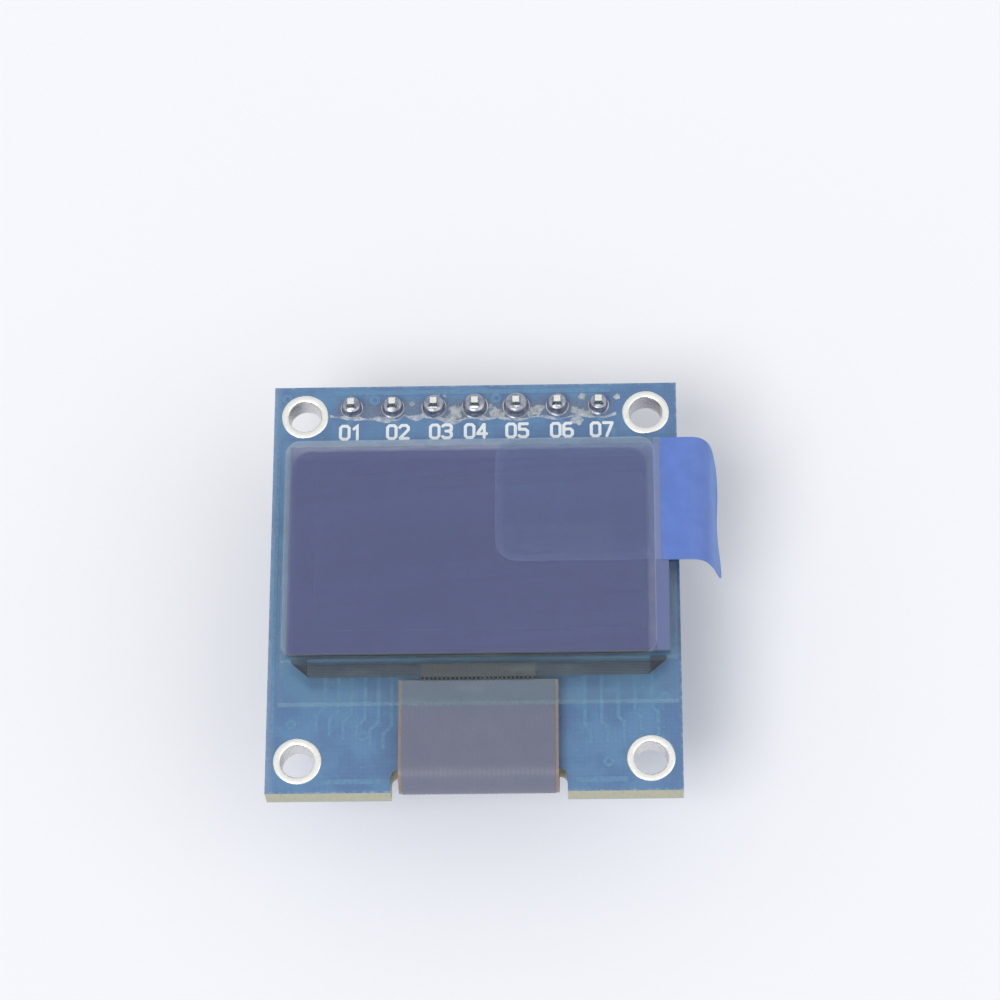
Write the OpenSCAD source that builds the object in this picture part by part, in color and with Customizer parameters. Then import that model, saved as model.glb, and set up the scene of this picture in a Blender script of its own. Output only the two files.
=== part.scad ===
// Small OLED display module: a glass display cell on a circuit board, with a
// seven-pin header on the back and a flex cable folded through a notch.
// Origin: centre of the four corner holes, on the board's display face.
// +X to the right, +Y towards the header edge, +Z out of the display. Millimetres.

/* [Board] */
// Height of the board
board_h = 26.4; // [26:0.1:30]
// Thickness of the board
board_t = 1.6; // [0.8:0.1:2]
// Distance of the corner holes from the side edges
hole_inset_x = 1.9; // [1.7:0.1:2.2]
// Distance of the corner holes from the top and bottom edges
hole_inset_y = 2; // [1.8:0.1:2.2]
// Open diameter of a corner hole
hole_d = 2; // [1.6:0.1:2.2]
// Outer diameter of the plated ring round a corner hole
ring_d = 2.9; // [2.7:0.1:3.1]
// Room between that ring and the end of the header's plastic strip
ring_gap = 0.16; // [0.1:0.02:0.6]
// Thickness of the plated metal
plating_t = 0.08; // [0.05:0.01:0.12]
// Depth of the notch that the flex cable folds through
notch_depth = 1.4; // [1:0.1:1.8]

/* [Header] */
// Number of pins
pin_count = 7; // [4:1:7]
// Distance between neighbouring pins
pin_pitch = 2.54; // [2:0.01:2.54]
// Side of the square pin
pin_side = 0.64; // [0.5:0.02:0.7]
// Whole length of a pin
pin_len = 11.5; // [9:0.1:16]
// Height of the pin's short end above the board
pin_tail = 1.1; // [0.9:0.1:2]
// Distance of the pin row from the top edge of the board
pin_inset = 1.45; // [1.4:0.05:1.6]
// Height of the plastic strip behind the board
strip_h = 2.54; // [2:0.02:3]
// Depth of the plastic strip, across the row
strip_w = 2.5; // [2:0.1:2.6]
// Diameter of the plated hole that a pin is soldered in
pin_hole_d = 1; // [1:0.05:1.2]
// Diameter of the solder dome's foot
solder_d = 1.4; // [1.3:0.05:1.8]
// Height of the solder dome
solder_h = 0.7; // [0.4:0.05:0.85]

/* [Display cell] */
// Width of the glass
glass_w = 23.8; // [23.4:0.1:24]
// Height of the front glass, with the ledge
glass_h = 16.9; // [16.5:0.1:17.3]
// Distance of the glass's top edge from the board's top edge
glass_top_gap = 4.45; // [4.2:0.05:4.8]
// Board left bare beside the glass, on the tab's side
glass_side_gap = 0.2; // [0:0.05:0.6]
// Thickness of the front glass
front_glass_t = 0.7; // [0.5:0.05:1]
// Thickness of the cap glass
cap_glass_t = 0.55; // [0.45:0.05:0.8]
// Height of the ledge that the cap glass leaves free
ledge_h = 3; // [2.8:0.1:3.3]
// Thickness of the foam tape under the cell
foam_t = 0.5; // [0.4:0.05:1]
// Bare glass left and right of the polarizer
polarizer_side_margin = 0.45; // [0.2:0.05:0.9]
// Bare glass above the polarizer
polarizer_top_margin = 0.45; // [0.2:0.05:0.9]
// Thickness of the polarizer
polarizer_t = 0.2; // [0.12:0.02:0.3]
// Length of the driver chip
chip_len = 6.8; // [5:0.1:9]
// Width of the driver chip
chip_w = 0.86; // [0.7:0.02:1]

/* [Film and pull tab] */
// Glass left bare beside the protective film, on the left
film_left_margin = 0.15; // [0:0.05:0.6]
// Glass left bare beside the protective film, on the tab's side
film_right_margin = 1.25; // [0.9:0.05:1.6]
// Glass left bare above the protective film
film_top_margin = 0.05; // [0:0.05:0.4]
// Reach of the film over the glass ledge
film_overhang = 0.25; // [0:0.05:1]
// Thickness of the protective film
film_t = 0.06; // [0.06:0.01:0.12]
// Width of the tab's tape
tape_w = 8; // [6:0.1:10]
// Thickness of the tab's tape
tape_t = 0.05; // [0.04:0.01:0.1]
// Length of tape that lies on the film before the blue grip begins
tape_reach = 10; // [6:0.1:12]
// Length of the blue grip along its curve
grip_len = 5.4; // [4.6:0.1:8]
// Radius of the bend where the grip turns down
grip_bend_r = 1.05; // [0.8:0.05:2]

/* [Flex cable] */
// Width of the flex cable's neck
neck_w = 9.5; // [8:0.1:11]
// Thickness of the flex cable
flex_t = 0.1; // [0.08:0.01:0.15]
// Length of flex bonded under the glass ledge
bond_len = 1.6; // [1.2:0.1:1.8]
// Height of the soldered end behind the board
tee_h = 3; // [2.5:0.1:3.2]
// Number of conductors soldered to the board
conductors = 30; // [20:1:30]
// Distance between neighbouring conductors
conductor_pitch = 0.62; // [0.5:0.01:0.62]

/* [Chip parts] */
// Length of a resistor or capacitor
smd_len = 1.6; // [1:0.1:1.7]
// Width of a resistor or capacitor
smd_w = 0.8; // [0.5:0.05:0.9]
// Height of a resistor
resistor_h = 0.45; // [0.3:0.05:0.6]
// Height of a capacitor
capacitor_h = 0.8; // [0.5:0.05:1]

/* [Hidden] */
CORNERS = 4;
RESISTORS = 6;
CAPACITORS = 7;
$fn = 48;
eps = 0.01;

// Board edges and the corner-hole pattern
top_y = board_h / 2;
bottom_y = -board_h / 2;
back_z = -board_t;
strip_len = pin_count * pin_pitch;
hole_x = strip_len / 2 + ring_gap + ring_d / 2;
board_w = 2 * (hole_x + hole_inset_x);
hole_y = board_h / 2 - hole_inset_y;
corner_at = [[-hole_x, hole_y], [hole_x, hole_y], [-hole_x, -hole_y], [hole_x, -hole_y]];
notch_floor_y = bottom_y + notch_depth;
notch_side_gap = 0.5;
notch_w = neck_w + 2 * notch_side_gap;
notch_corner_r = 0.5;

// Header
pin_y = top_y - pin_inset;
pin_tip_flat = 0.4;
pin_tip_len = 0.25;
solder_collar = 0.02;
strip_chamfer = 0.45;

// Display cell, from the board up
glass_left = board_w / 2 - glass_side_gap - glass_w;
glass_mid = glass_left + glass_w / 2;
glass_top = top_y - glass_top_gap;
glass_bottom = glass_top - glass_h;
cap_h = glass_h - ledge_h;
cap_bottom = glass_bottom + ledge_h;
cap_z = foam_t;
front_z = cap_z + cap_glass_t;
polarizer_z = front_z + front_glass_t;
film_z = polarizer_z + polarizer_t;
tape_z = film_z + film_t;
foam_margin = 0.7;
pocket_margin = 1.5;
pocket_depth = 0.3;
desiccant_gap = 0.4;
desiccant_t = 0.18;
polarizer_w = glass_w - 2 * polarizer_side_margin;
polarizer_h = cap_h - polarizer_top_margin;
chip_t = 0.3;
chip_gap = 0.35;

// Film and pull tab
film_w = glass_w - film_left_margin - film_right_margin;
film_h = cap_h - film_top_margin + film_overhang;
film_corner_r = 0.9;
tape_drop = 0.12;
tape_top = glass_top - tape_drop;
tape_bottom = tape_top - tape_w;
grip_gap = 0.38;
grip_left = glass_left + film_left_margin + film_w + grip_gap;
tape_left = grip_left - tape_reach;
tape_len = tape_reach + grip_len;
tape_corner_r = 1.3;
grip_upper_corner_r = 1.6;
grip_lower_corner_r = 0.3;
grip_t = tape_t;
grip_flat_len = 1.8;
grip_bend_angle = 62;
grip_sweep_r = 6;
grip_sweep_angle = 14;
grip_skew = 0.6;

// Flex cable: one sheet from the ledge, round the notch, to the back of the board
flex_top_z = front_z;
fold_outer_r = (flex_top_z - back_z + flex_t) / 2;
fold_inner_r = fold_outer_r - flex_t;
fold_z = flex_top_z - fold_outer_r;
tee_w = conductors * conductor_pitch + 0.2;
tee_gap = 0.35;
tee_bottom = -hole_y + ring_d / 2 + tee_gap;
tee_top = tee_bottom + tee_h;
tee_corner_r = 0.6;
finger_len = 1.3;
finger_w = conductor_pitch - 0.25;
finger_h = 0.16;

// Chip parts on the back: centre and turn of each
termination = 0.3;
body_inset = 0.02;
fillet = 0.28;
fillet_hollow_r = 0.24;
resistor_at = [[2.6, 8.3, 0], [2.6, 6.7, 0], [2.6, 5.1, 0], [6.2, 8.3, 0], [6.2, 6.7, 0], [6.2, 5.1, 0]];
capacitor_at = [[-4.3, 8.2, 90], [-2.4, 8.2, 90], [-0.4, 8.2, 90], [-8.4, 1.6, 0], [-5, 1.6, 0],
                [-1.6, 1.6, 0], [9.6, 6.7, 90]];

// Regulator: body with drafted sides and three gull-wing leads
regulator_at = [-8, 7.2];
regulator_len = 2.9;
regulator_w = 1.3;
regulator_h = 1.05;
regulator_lift = 0.08;
regulator_draft = 0.1;
lead_t = 0.13;
lead_w = 0.4;
lead_reach = 0.55;
lead_foot = 0.35;
lead_z = 0.55;
lead_pitch = 0.95;

// Plate with true round corners, lower left corner at the origin
module round_plate(w, h, t, r) {
    linear_extrude(t) {
        translate([r, 0]) square([w - 2 * r, h]);
        translate([0, r]) square([w, h - 2 * r]);
        for (x = [r, w - r], y = [r, h - r]) translate([x, y]) circle(r);
    }
}

// Notch outline: straight sides and cutter-round inner corners
module notch_outline() {
    r = notch_corner_r;
    translate([glass_mid - notch_w / 2, bottom_y - 1]) {
        square([notch_w, notch_depth + 1 - r]);
        translate([r, 0]) square([notch_w - 2 * r, notch_depth + 1]);
        for (x = [r, notch_w - r]) translate([x, notch_depth + 1 - r]) circle(r);
    }
}

function pin_x(i) = (i - (pin_count + 1) / 2) * pin_pitch;

module board() {
    color([0.09, 0.27, 0.45]) translate([0, 0, back_z]) linear_extrude(board_t) difference() {
        translate([-board_w / 2, bottom_y]) square([board_w, board_h]);
        for (c = corner_at) translate(c) circle(d = hole_d + 2 * plating_t);
        for (i = [1:pin_count]) translate([pin_x(i), pin_y]) circle(d = pin_hole_d);
        notch_outline();
    }
}

// Plated barrel with a flat ring on both faces
module hole_plating(i) {
    bore_r = hole_d / 2;
    barrel_r = bore_r + plating_t;
    color([0.86, 0.87, 0.88]) translate(corner_at[i - 1]) rotate_extrude() {
        translate([bore_r, back_z - plating_t]) square([plating_t, board_t + 2 * plating_t]);
        for (z = [0, back_z - plating_t])
            translate([barrel_r - eps, z]) square([ring_d / 2 - barrel_r + eps, plating_t]);
    }
}

module foam_tape() {
    color([0.16, 0.16, 0.17])
        translate([glass_left + foam_margin, cap_bottom + foam_margin, 0])
            cube([glass_w - 2 * foam_margin, cap_h - 2 * foam_margin, foam_t]);
}

// Rear glass, with a shallow pocket on the side that faces the front glass
module cap_glass() {
    color([0.75, 0.82, 0.82, 0.6]) difference() {
        translate([glass_left, cap_bottom, cap_z]) cube([glass_w, cap_h, cap_glass_t]);
        translate([glass_left + pocket_margin, cap_bottom + pocket_margin, front_z - pocket_depth])
            cube([glass_w - 2 * pocket_margin, cap_h - 2 * pocket_margin, pocket_depth + 1]);
    }
}

module desiccant_sheet() {
    inset = pocket_margin + desiccant_gap;
    color([0.85, 0.84, 0.8])
        translate([glass_left + inset, cap_bottom + inset, front_z - pocket_depth])
            cube([glass_w - 2 * inset, cap_h - 2 * inset, desiccant_t]);
}

module substrate_glass() {
    color([0.7, 0.8, 0.82, 0.5])
        translate([glass_left, glass_bottom, front_z]) cube([glass_w, glass_h, front_glass_t]);
}

module polarizer() {
    color([0.05, 0.06, 0.09])
        translate([glass_left + polarizer_side_margin, cap_bottom, polarizer_z])
            cube([polarizer_w, polarizer_h, polarizer_t]);
}

// Bare chip on the hidden side of the ledge, between the cap glass and the flex bond
module driver_chip() {
    color([0.35, 0.35, 0.38])
        translate([glass_mid - chip_len / 2, cap_bottom - chip_gap - chip_w, front_z - chip_t])
            cube([chip_len, chip_w, chip_t]);
}

module protective_film() {
    color([0.8, 0.85, 0.9, 0.35])
        translate([glass_left + film_left_margin, cap_bottom - film_overhang, film_z])
            round_plate(film_w, film_h, film_t, film_corner_r);
}

// Pull tab. The tape's underside follows a flat stretch, a tight bend, a wide sweep
// and a straight end. s runs along the tape from its clear end.
flat_end = tape_reach + grip_flat_len;
bend_end = flat_end + grip_bend_r * grip_bend_angle * PI / 180;
sweep_end = bend_end + grip_sweep_r * grip_sweep_angle * PI / 180;
function slope(s) =
    s <= flat_end ? 0 :
    s <= bend_end ? (s - flat_end) / grip_bend_r * 180 / PI :
    s <= sweep_end ? grip_bend_angle + (s - bend_end) / grip_sweep_r * 180 / PI :
    grip_bend_angle + grip_sweep_angle;
function arc_step(r, a, b) = [r * (sin(b) - sin(a)), -r * (cos(a) - cos(b))];
function tab_place(s) =
    s <= flat_end ? [tape_left + s, tape_z] :
    s <= bend_end ? tab_place(flat_end) + arc_step(grip_bend_r, 0, slope(s)) :
    s <= sweep_end ? tab_place(bend_end) + arc_step(grip_sweep_r, grip_bend_angle, slope(s)) :
    tab_place(sweep_end) + (s - sweep_end) * [cos(slope(s)), -sin(slope(s))];
function lifted(s, lift) = tab_place(s) + lift * [sin(slope(s)), cos(slope(s))];

// How much further along the curve the lower side has come than the upper side at s
function lag(s) = s <= flat_end ? 0 : grip_skew * (s - flat_end) / (tape_len - flat_end);
// How far a round corner of radius r draws the side in, at distance d from the end
function corner_draw(d, r) = d >= r ? 0 : r - sqrt(r * r - (r - d) * (r - d));
function upper_side(s) =
    tape_top - max(corner_draw(s, tape_corner_r), corner_draw(tape_len - s, grip_upper_corner_r));
function lower_side(s) =
    tape_bottom + max(corner_draw(s, tape_corner_r), corner_draw(tape_len - s, grip_lower_corner_r));

// Cross-sections: close together at the round corners and round the bend
function corner_steps(r, n) = [for (i = [0:n]) r * (1 - cos(90 * i / n))];
clear_stations = [for (d = corner_steps(tape_corner_r, 6)) d];
grip_stations = concat(
    [tape_reach],
    [for (i = [0:8]) flat_end + (bend_end - flat_end) * i / 8],
    [for (d = corner_steps(grip_upper_corner_r, 8)) if (tape_len - d > bend_end + 0.05) tape_len - d],
    [for (d = corner_steps(grip_lower_corner_r, 3)) if (d > 0) tape_len - d]
);

function sorted(v) = len(v) < 2 ? v : let (p = v[0])
    concat(sorted([for (x = v) if (x < p) x]), [p], sorted([for (x = v) if (x > p) x]));

// Sheet between two heights over the tape's path, one four-point ring per station
module curved_sheet(stations, low, high) {
    n = len(stations);
    rings = [for (s = stations) let (
        a = lifted(s + lag(s), low), b = lifted(s, low),
        c = lifted(s, high), d = lifted(s + lag(s), high)
    ) each [[a[0], lower_side(s), a[1]], [b[0], upper_side(s), b[1]],
            [c[0], upper_side(s), c[1]], [d[0], lower_side(s), d[1]]]];
    walls = [for (i = [0:n - 2], j = [0:3]) let (a = 4 * i + j, b = 4 * i + (j + 1) % 4) each
        j < 2 ? [[a, b, b + 4], [a, b + 4, a + 4]] : [[a, b, a + 4], [b, b + 4, a + 4]]];
    last = 4 * (n - 1);
    polyhedron(rings, concat([[3, 2, 1, 0]], walls, [[last, last + 1, last + 2, last + 3]]));
}
module tab_tape() {
    color([0.8, 0.86, 0.95, 0.4])
        curved_sheet(sorted(concat(clear_stations, grip_stations)), 0, tape_t);
}

module tab_grip() {
    color([0.3, 0.4, 0.8]) curved_sheet(sorted(grip_stations), -grip_t, 0);
}

// Flex cable: upper run, half-round fold through the notch, lower run with a wide end
module flex_cable() {
    upper_len = glass_bottom + bond_len - notch_floor_y;
    left = glass_mid - neck_w / 2;
    color([0.3, 0.27, 0.25]) {
        translate([left, notch_floor_y, flex_top_z - flex_t]) cube([neck_w, upper_len, flex_t]);
        translate([glass_mid, notch_floor_y, fold_z]) rotate([0, 90, 0]) rotate([0, 0, 180])
            rotate_extrude(angle = 180)
                translate([fold_inner_r, -neck_w / 2]) square([flex_t, neck_w]);
        translate([left, notch_floor_y, back_z - flex_t])
            cube([neck_w, tee_bottom + tee_h / 2 - notch_floor_y, flex_t]);
        translate([glass_mid - tee_w / 2, tee_bottom, back_z - flex_t])
            round_plate(tee_w, tee_h, flex_t, tee_corner_r);
    }
}

// One low rounded bead per conductor, from the flex's end on to the board
module flex_solder() {
    color([0.8, 0.81, 0.82]) for (i = [0:conductors - 1])
        translate([glass_mid + (i - (conductors - 1) / 2) * conductor_pitch, tee_top, back_z])
            rotate([-90, 0, 0]) linear_extrude(finger_len) intersection() {
                translate([0, finger_h - finger_w / 2]) circle(d = finger_w, $fn = 24);
                translate([-finger_w / 2, 0]) square([finger_w, finger_h]);
            }
}

// Plastic strip with a chamfered block round each pin
module header_strip() {
    w = pin_pitch / 2;
    d = strip_w / 2;
    c = strip_chamfer;
    color([0.08, 0.08, 0.09]) translate([0, pin_y, back_z - strip_h]) linear_extrude(strip_h)
        difference() {
            union() {
                square([strip_len, strip_w - 2 * c], center = true);
                for (i = [1:pin_count]) translate([pin_x(i), 0])
                    polygon([[-w, -d + c], [-w + c, -d], [w - c, -d], [w, -d + c],
                             [w, d - c], [w - c, d], [-w + c, d], [-w, d - c]]);
            }
            for (i = [1:pin_count]) translate([pin_x(i), 0]) square(pin_side, center = true);
        }
}

// Square pin with both tips cut to a blunt point
module header_pin(i) {
    low = pin_tail - pin_len;
    h = pin_side / 2;
    f = pin_tip_flat / 2;
    l = pin_tip_len;
    side = [[-f, low], [f, low], [h, low + l], [h, pin_tail - l],
            [f, pin_tail], [-f, pin_tail], [-h, pin_tail - l], [-h, low + l]];
    color([0.85, 0.8, 0.62]) translate([pin_x(i), pin_y, 0]) intersection() {
        rotate([90, 0, 0]) linear_extrude(pin_side, center = true) polygon(side);
        rotate([90, 0, 90]) linear_extrude(pin_side, center = true) polygon(side);
    }
}

// Round-shouldered solder dome, and the plug of solder in the plated hole
module solder_joint(i) {
    top_r = pin_side * sqrt(2) / 2 + solder_collar;
    foot_r = solder_d / 2;
    steps = 6;
    shoulder = [for (k = [0:steps]) let (a = 90 * k / steps)
        [top_r + (foot_r - top_r) * cos(a), solder_h * sin(a)]];
    color([0.72, 0.73, 0.74]) translate([pin_x(i), pin_y, 0]) difference() {
        rotate_extrude() {
            polygon(concat([[0, 0]], shoulder, [[0, solder_h]]));
            translate([0, back_z]) square([pin_hole_d / 2, board_t + eps]);
        }
        cube([pin_side, pin_side, 4 * board_t], center = true);
    }
}

// Chip part on the board's back: ceramic body between two metal ends
module chip_part(place, h) {
    translate([place[0], place[1], back_z - h]) rotate([0, 0, place[2]]) {
        for (side = [-1, 1])
            translate([side * (smd_len - termination) / 2 - termination / 2, -smd_w / 2, 0])
                cube([termination, smd_w, h]);
        translate([-smd_len / 2 + body_inset, -smd_w / 2 + body_inset, body_inset])
            cube([smd_len - 2 * body_inset, smd_w - 2 * body_inset, h - body_inset]);
    }
}

module resistor(i) {
    color([0.12, 0.12, 0.13]) chip_part(resistor_at[i - 1], resistor_h);
}

module capacitor(i) {
    color([0.66, 0.54, 0.4]) chip_part(capacitor_at[i - 1], capacitor_h);
}

module regulator_body() {
    l = regulator_len / 2;
    w = regulator_w / 2;
    d = regulator_draft;
    m = regulator_h / 2;
    h = regulator_h;
    color([0.1, 0.1, 0.11])
        translate([regulator_at[0], regulator_at[1], back_z - regulator_lift - regulator_h])
            intersection() {
                rotate([90, 0, 0]) linear_extrude(2 * w, center = true)
                    polygon([[-l + d, 0], [l - d, 0], [l, m], [l - d, h], [-l + d, h], [-l, m]]);
                rotate([90, 0, 90]) linear_extrude(2 * l, center = true)
                    polygon([[-w + d, 0], [w - d, 0], [w, m], [w - d, h], [-w + d, h], [-w, m]]);
            }
}

// Gull-wing lead: out of the body's side, down, and along the board
module lead() {
    t = lead_t;
    r = lead_reach;
    f = lead_foot;
    z = lead_z + t / 2;
    knee = (r - f) / 2;
    rotate([90, 0, 90]) linear_extrude(lead_w, center = true)
        polygon([[0, -z], [knee + t, -z], [knee + t, -t], [r, -t], [r, 0], [knee, 0],
                 [knee, -z + t], [0, -z + t]]);
}

module regulator_leads() {
    color([0.8, 0.81, 0.82]) translate([regulator_at[0], regulator_at[1], back_z]) {
        for (x = [-lead_pitch, lead_pitch]) translate([x, regulator_w / 2, 0]) lead();
        rotate([0, 0, 180]) translate([0, regulator_w / 2, 0]) lead();
    }
}

// Solder fillet with a hollow face, standing against a metal end
module fillet_wedge(w) {
    rotate([90, 0, 0]) linear_extrude(w, center = true) difference() {
        translate([0, -fillet]) square(fillet);
        translate([fillet, -fillet]) circle(r = fillet_hollow_r);
    }
}

module component_solder() {
    color([0.76, 0.77, 0.78]) {
        for (place = concat(resistor_at, capacitor_at))
            translate([place[0], place[1], back_z]) for (turn = [0, 180])
                rotate([0, 0, place[2] + turn]) translate([smd_len / 2, 0, 0])
                    fillet_wedge(smd_w);
        translate([regulator_at[0], regulator_at[1], back_z]) for (k = [-1, 0, 1])
            rotate([0, 0, k == 0 ? -90 : 90])
                translate([regulator_w / 2 + lead_reach, -k * lead_pitch, 0])
                    fillet_wedge(lead_w);
    }
}

board();
foam_tape();
cap_glass();
desiccant_sheet();
substrate_glass();
polarizer();
driver_chip();
flex_cable();
flex_solder();
protective_film();
tab_tape();
tab_grip();
header_strip();
regulator_body();
regulator_leads();
component_solder();
for (i = [1:CORNERS])
    hole_plating(i);
for (i = [1:pin_count])
    header_pin(i);
for (i = [1:pin_count])
    solder_joint(i);
for (i = [1:RESISTORS])
    resistor(i);
for (i = [1:CAPACITORS])
    capacitor(i);
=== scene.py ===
import math
import random

import bpy
from mathutils import Matrix, Vector


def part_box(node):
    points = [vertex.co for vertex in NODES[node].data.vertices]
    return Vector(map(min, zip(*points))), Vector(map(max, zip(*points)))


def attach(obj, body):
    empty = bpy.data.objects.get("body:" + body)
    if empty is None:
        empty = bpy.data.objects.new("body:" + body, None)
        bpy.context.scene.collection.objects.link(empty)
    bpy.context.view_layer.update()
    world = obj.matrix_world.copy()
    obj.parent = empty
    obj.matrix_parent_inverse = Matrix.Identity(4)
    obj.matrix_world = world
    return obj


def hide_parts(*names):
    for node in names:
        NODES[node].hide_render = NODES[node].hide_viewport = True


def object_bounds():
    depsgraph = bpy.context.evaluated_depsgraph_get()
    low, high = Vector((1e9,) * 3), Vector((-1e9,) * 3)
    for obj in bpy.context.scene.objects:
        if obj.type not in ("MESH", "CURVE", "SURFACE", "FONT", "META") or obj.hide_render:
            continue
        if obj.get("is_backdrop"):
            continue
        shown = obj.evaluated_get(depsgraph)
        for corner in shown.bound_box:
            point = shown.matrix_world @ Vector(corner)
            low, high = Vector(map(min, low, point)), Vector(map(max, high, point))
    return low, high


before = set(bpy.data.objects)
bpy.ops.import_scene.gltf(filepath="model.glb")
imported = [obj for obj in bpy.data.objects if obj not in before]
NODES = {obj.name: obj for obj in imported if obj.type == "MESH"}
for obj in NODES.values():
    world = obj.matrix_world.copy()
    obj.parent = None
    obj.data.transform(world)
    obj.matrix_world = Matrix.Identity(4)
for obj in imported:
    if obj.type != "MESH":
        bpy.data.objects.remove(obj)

MM = 0.001
CAD_LOW, CAD_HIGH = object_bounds()
random.seed(41)


def box_mm(node):
    """Lowest and highest corner of a CAD node, in millimetres."""
    low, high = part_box(node)
    return [c / MM for c in low], [c / MM for c in high]


# ---------------------------------------------------------------- materials


class Shader:
    """One material with a Principled shader; patterns are in millimetres of the row frame."""

    def __init__(self, name, **sockets):
        self.material = bpy.data.materials.new(name)
        self.material.use_nodes = True
        self.tree = self.material.node_tree
        self.bsdf = self.tree.nodes["Principled BSDF"]
        self.out = self.tree.nodes["Material Output"]
        self.fill(self.bsdf, sockets)
        self.place = None

    def fill(self, node, sockets):
        for key, value in sockets.items():
            name = key.replace("_", " ") if isinstance(key, str) else key
            socket = node.inputs[name]
            if isinstance(value, bpy.types.NodeSocket):
                self.tree.links.new(value, socket)
            else:
                socket.default_value = value

    def node(self, kind, sockets=None, **settings):
        made = self.tree.nodes.new(kind)
        for key, value in settings.items():
            setattr(made, key, value)
        self.fill(made, sockets or {})
        return made

    def mm(self):
        """Position in millimetres."""
        if self.place is None:
            where = self.node("ShaderNodeTexCoord").outputs["Object"]
            scaled = self.node("ShaderNodeVectorMath", {0: where}, operation="SCALE")
            scaled.inputs["Scale"].default_value = 1 / MM
            self.place = scaled.outputs[0]
            self.axes = self.node("ShaderNodeSeparateXYZ", {0: self.place})
        return self.place

    def axis(self, name):
        self.mm()
        return self.axes.outputs[name]

    def math(self, operation, a, b=0.0, clamp=False):
        return self.node("ShaderNodeMath", {0: a, 1: b}, operation=operation, use_clamp=clamp).outputs[0]

    def step(self, value, low, high, start=0.0, end=1.0):
        """Smooth change from start to end while value goes from low to high."""
        made = self.node("ShaderNodeMapRange", interpolation_type="SMOOTHSTEP")
        for i, v in enumerate((value, low, high, start, end)):
            self.fill(made, {i: v})
        return made.outputs[0]

    def noise(self, scale, detail=3.0, rough=0.55, squeeze=None, warp=0.0):
        where = self.mm()
        if squeeze:
            where = self.node("ShaderNodeVectorMath", {0: where, 1: squeeze}, operation="MULTIPLY").outputs[0]
        made = self.node("ShaderNodeTexNoise", {"Vector": where, "Scale": scale, "Detail": detail,
                                                "Roughness": rough, "Distortion": warp})
        return made.outputs["Fac"]

    def cells(self, scale, feature="F1", squeeze=None):
        where = self.mm()
        if squeeze:
            where = self.node("ShaderNodeVectorMath", {0: where, 1: squeeze}, operation="MULTIPLY").outputs[0]
        return self.node("ShaderNodeTexVoronoi", {"Vector": where, "Scale": scale}, feature=feature).outputs["Distance"]

    def mix(self, share, a, b):
        made = self.node("ShaderNodeMix", {0: share}, data_type="RGBA")
        for socket, value in ((made.inputs[6], a), (made.inputs[7], b)):
            if isinstance(value, bpy.types.NodeSocket):
                self.tree.links.new(value, socket)
            else:
                socket.default_value = (*value, 1.0)
        return made.outputs[2]

    def facing(self, axis):
        """Component of the surface normal along an axis of the row frame."""
        normal = self.node("ShaderNodeNewGeometry").outputs["Normal"]
        return self.node("ShaderNodeSeparateXYZ", {0: normal}).outputs[axis]

    def rounded_box(self, centre, half, radius):
        """Distance in millimetres to a rounded rectangle in X and Y; negative inside."""
        outside = []
        for name, c, h in (("X", centre[0], half[0]), ("Y", centre[1], half[1])):
            away = self.math("ABSOLUTE", self.math("SUBTRACT", self.axis(name), c))
            outside.append(self.math("SUBTRACT", away, h - radius))
        clipped = [self.math("MAXIMUM", d, 0.0) for d in outside]
        corner = self.math("SQRT", self.math("ADD", self.math("MULTIPLY", clipped[0], clipped[0]),
                                             self.math("MULTIPLY", clipped[1], clipped[1])))
        inner = self.math("MINIMUM", self.math("MAXIMUM", outside[0], outside[1]), 0.0)
        return self.math("SUBTRACT", self.math("ADD", corner, inner), radius)

    def bump(self, height, depth, under=None):
        """Bump of a height pattern whose full range is depth millimetres."""
        made = self.node("ShaderNodeBump", {"Height": height, "Distance": depth * MM, "Strength": 1.0})
        if under is not None:
            self.tree.links.new(under, made.inputs["Normal"])
        return made.outputs[0]

    def set(self, **sockets):
        self.fill(self.bsdf, sockets)
        return self

    def clear(self, reflect, rough, haze, haze_colour, tint=(1, 1, 1), normal=None):
        """Thin clear sheet: what is behind it shows, with a share of reflection and of pale haze."""
        front = self.math("SUBTRACT", 1.0, self.node("ShaderNodeNewGeometry").outputs["Backfacing"])
        reflect = self.math("MULTIPLY", reflect, front)
        haze = self.math("MULTIPLY", haze, front)
        glossy = self.node("ShaderNodeBsdfGlossy", {"Roughness": rough})
        glossy.inputs["Color"].default_value = (1, 1, 1, 1)
        through = self.node("ShaderNodeBsdfTransparent")
        through.inputs["Color"].default_value = (*tint, 1)
        if normal is not None:
            self.tree.links.new(normal, glossy.inputs["Normal"])
        pale = self.node("ShaderNodeBsdfDiffuse")
        pale.inputs["Color"].default_value = (*haze_colour, 1)
        if normal is not None:
            self.tree.links.new(normal, pale.inputs["Normal"])
        base = self.node("ShaderNodeMixShader", {0: haze, 1: through.outputs[0], 2: pale.outputs[0]}).outputs[0]
        top = self.node("ShaderNodeMixShader", {0: reflect, 1: base, 2: glossy.outputs[0]})
        self.tree.links.new(top.outputs[0], self.out.inputs["Surface"])
        self.tree.nodes.remove(self.bsdf)
        return self


# ---------------------------------------------------------------- geometry


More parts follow.
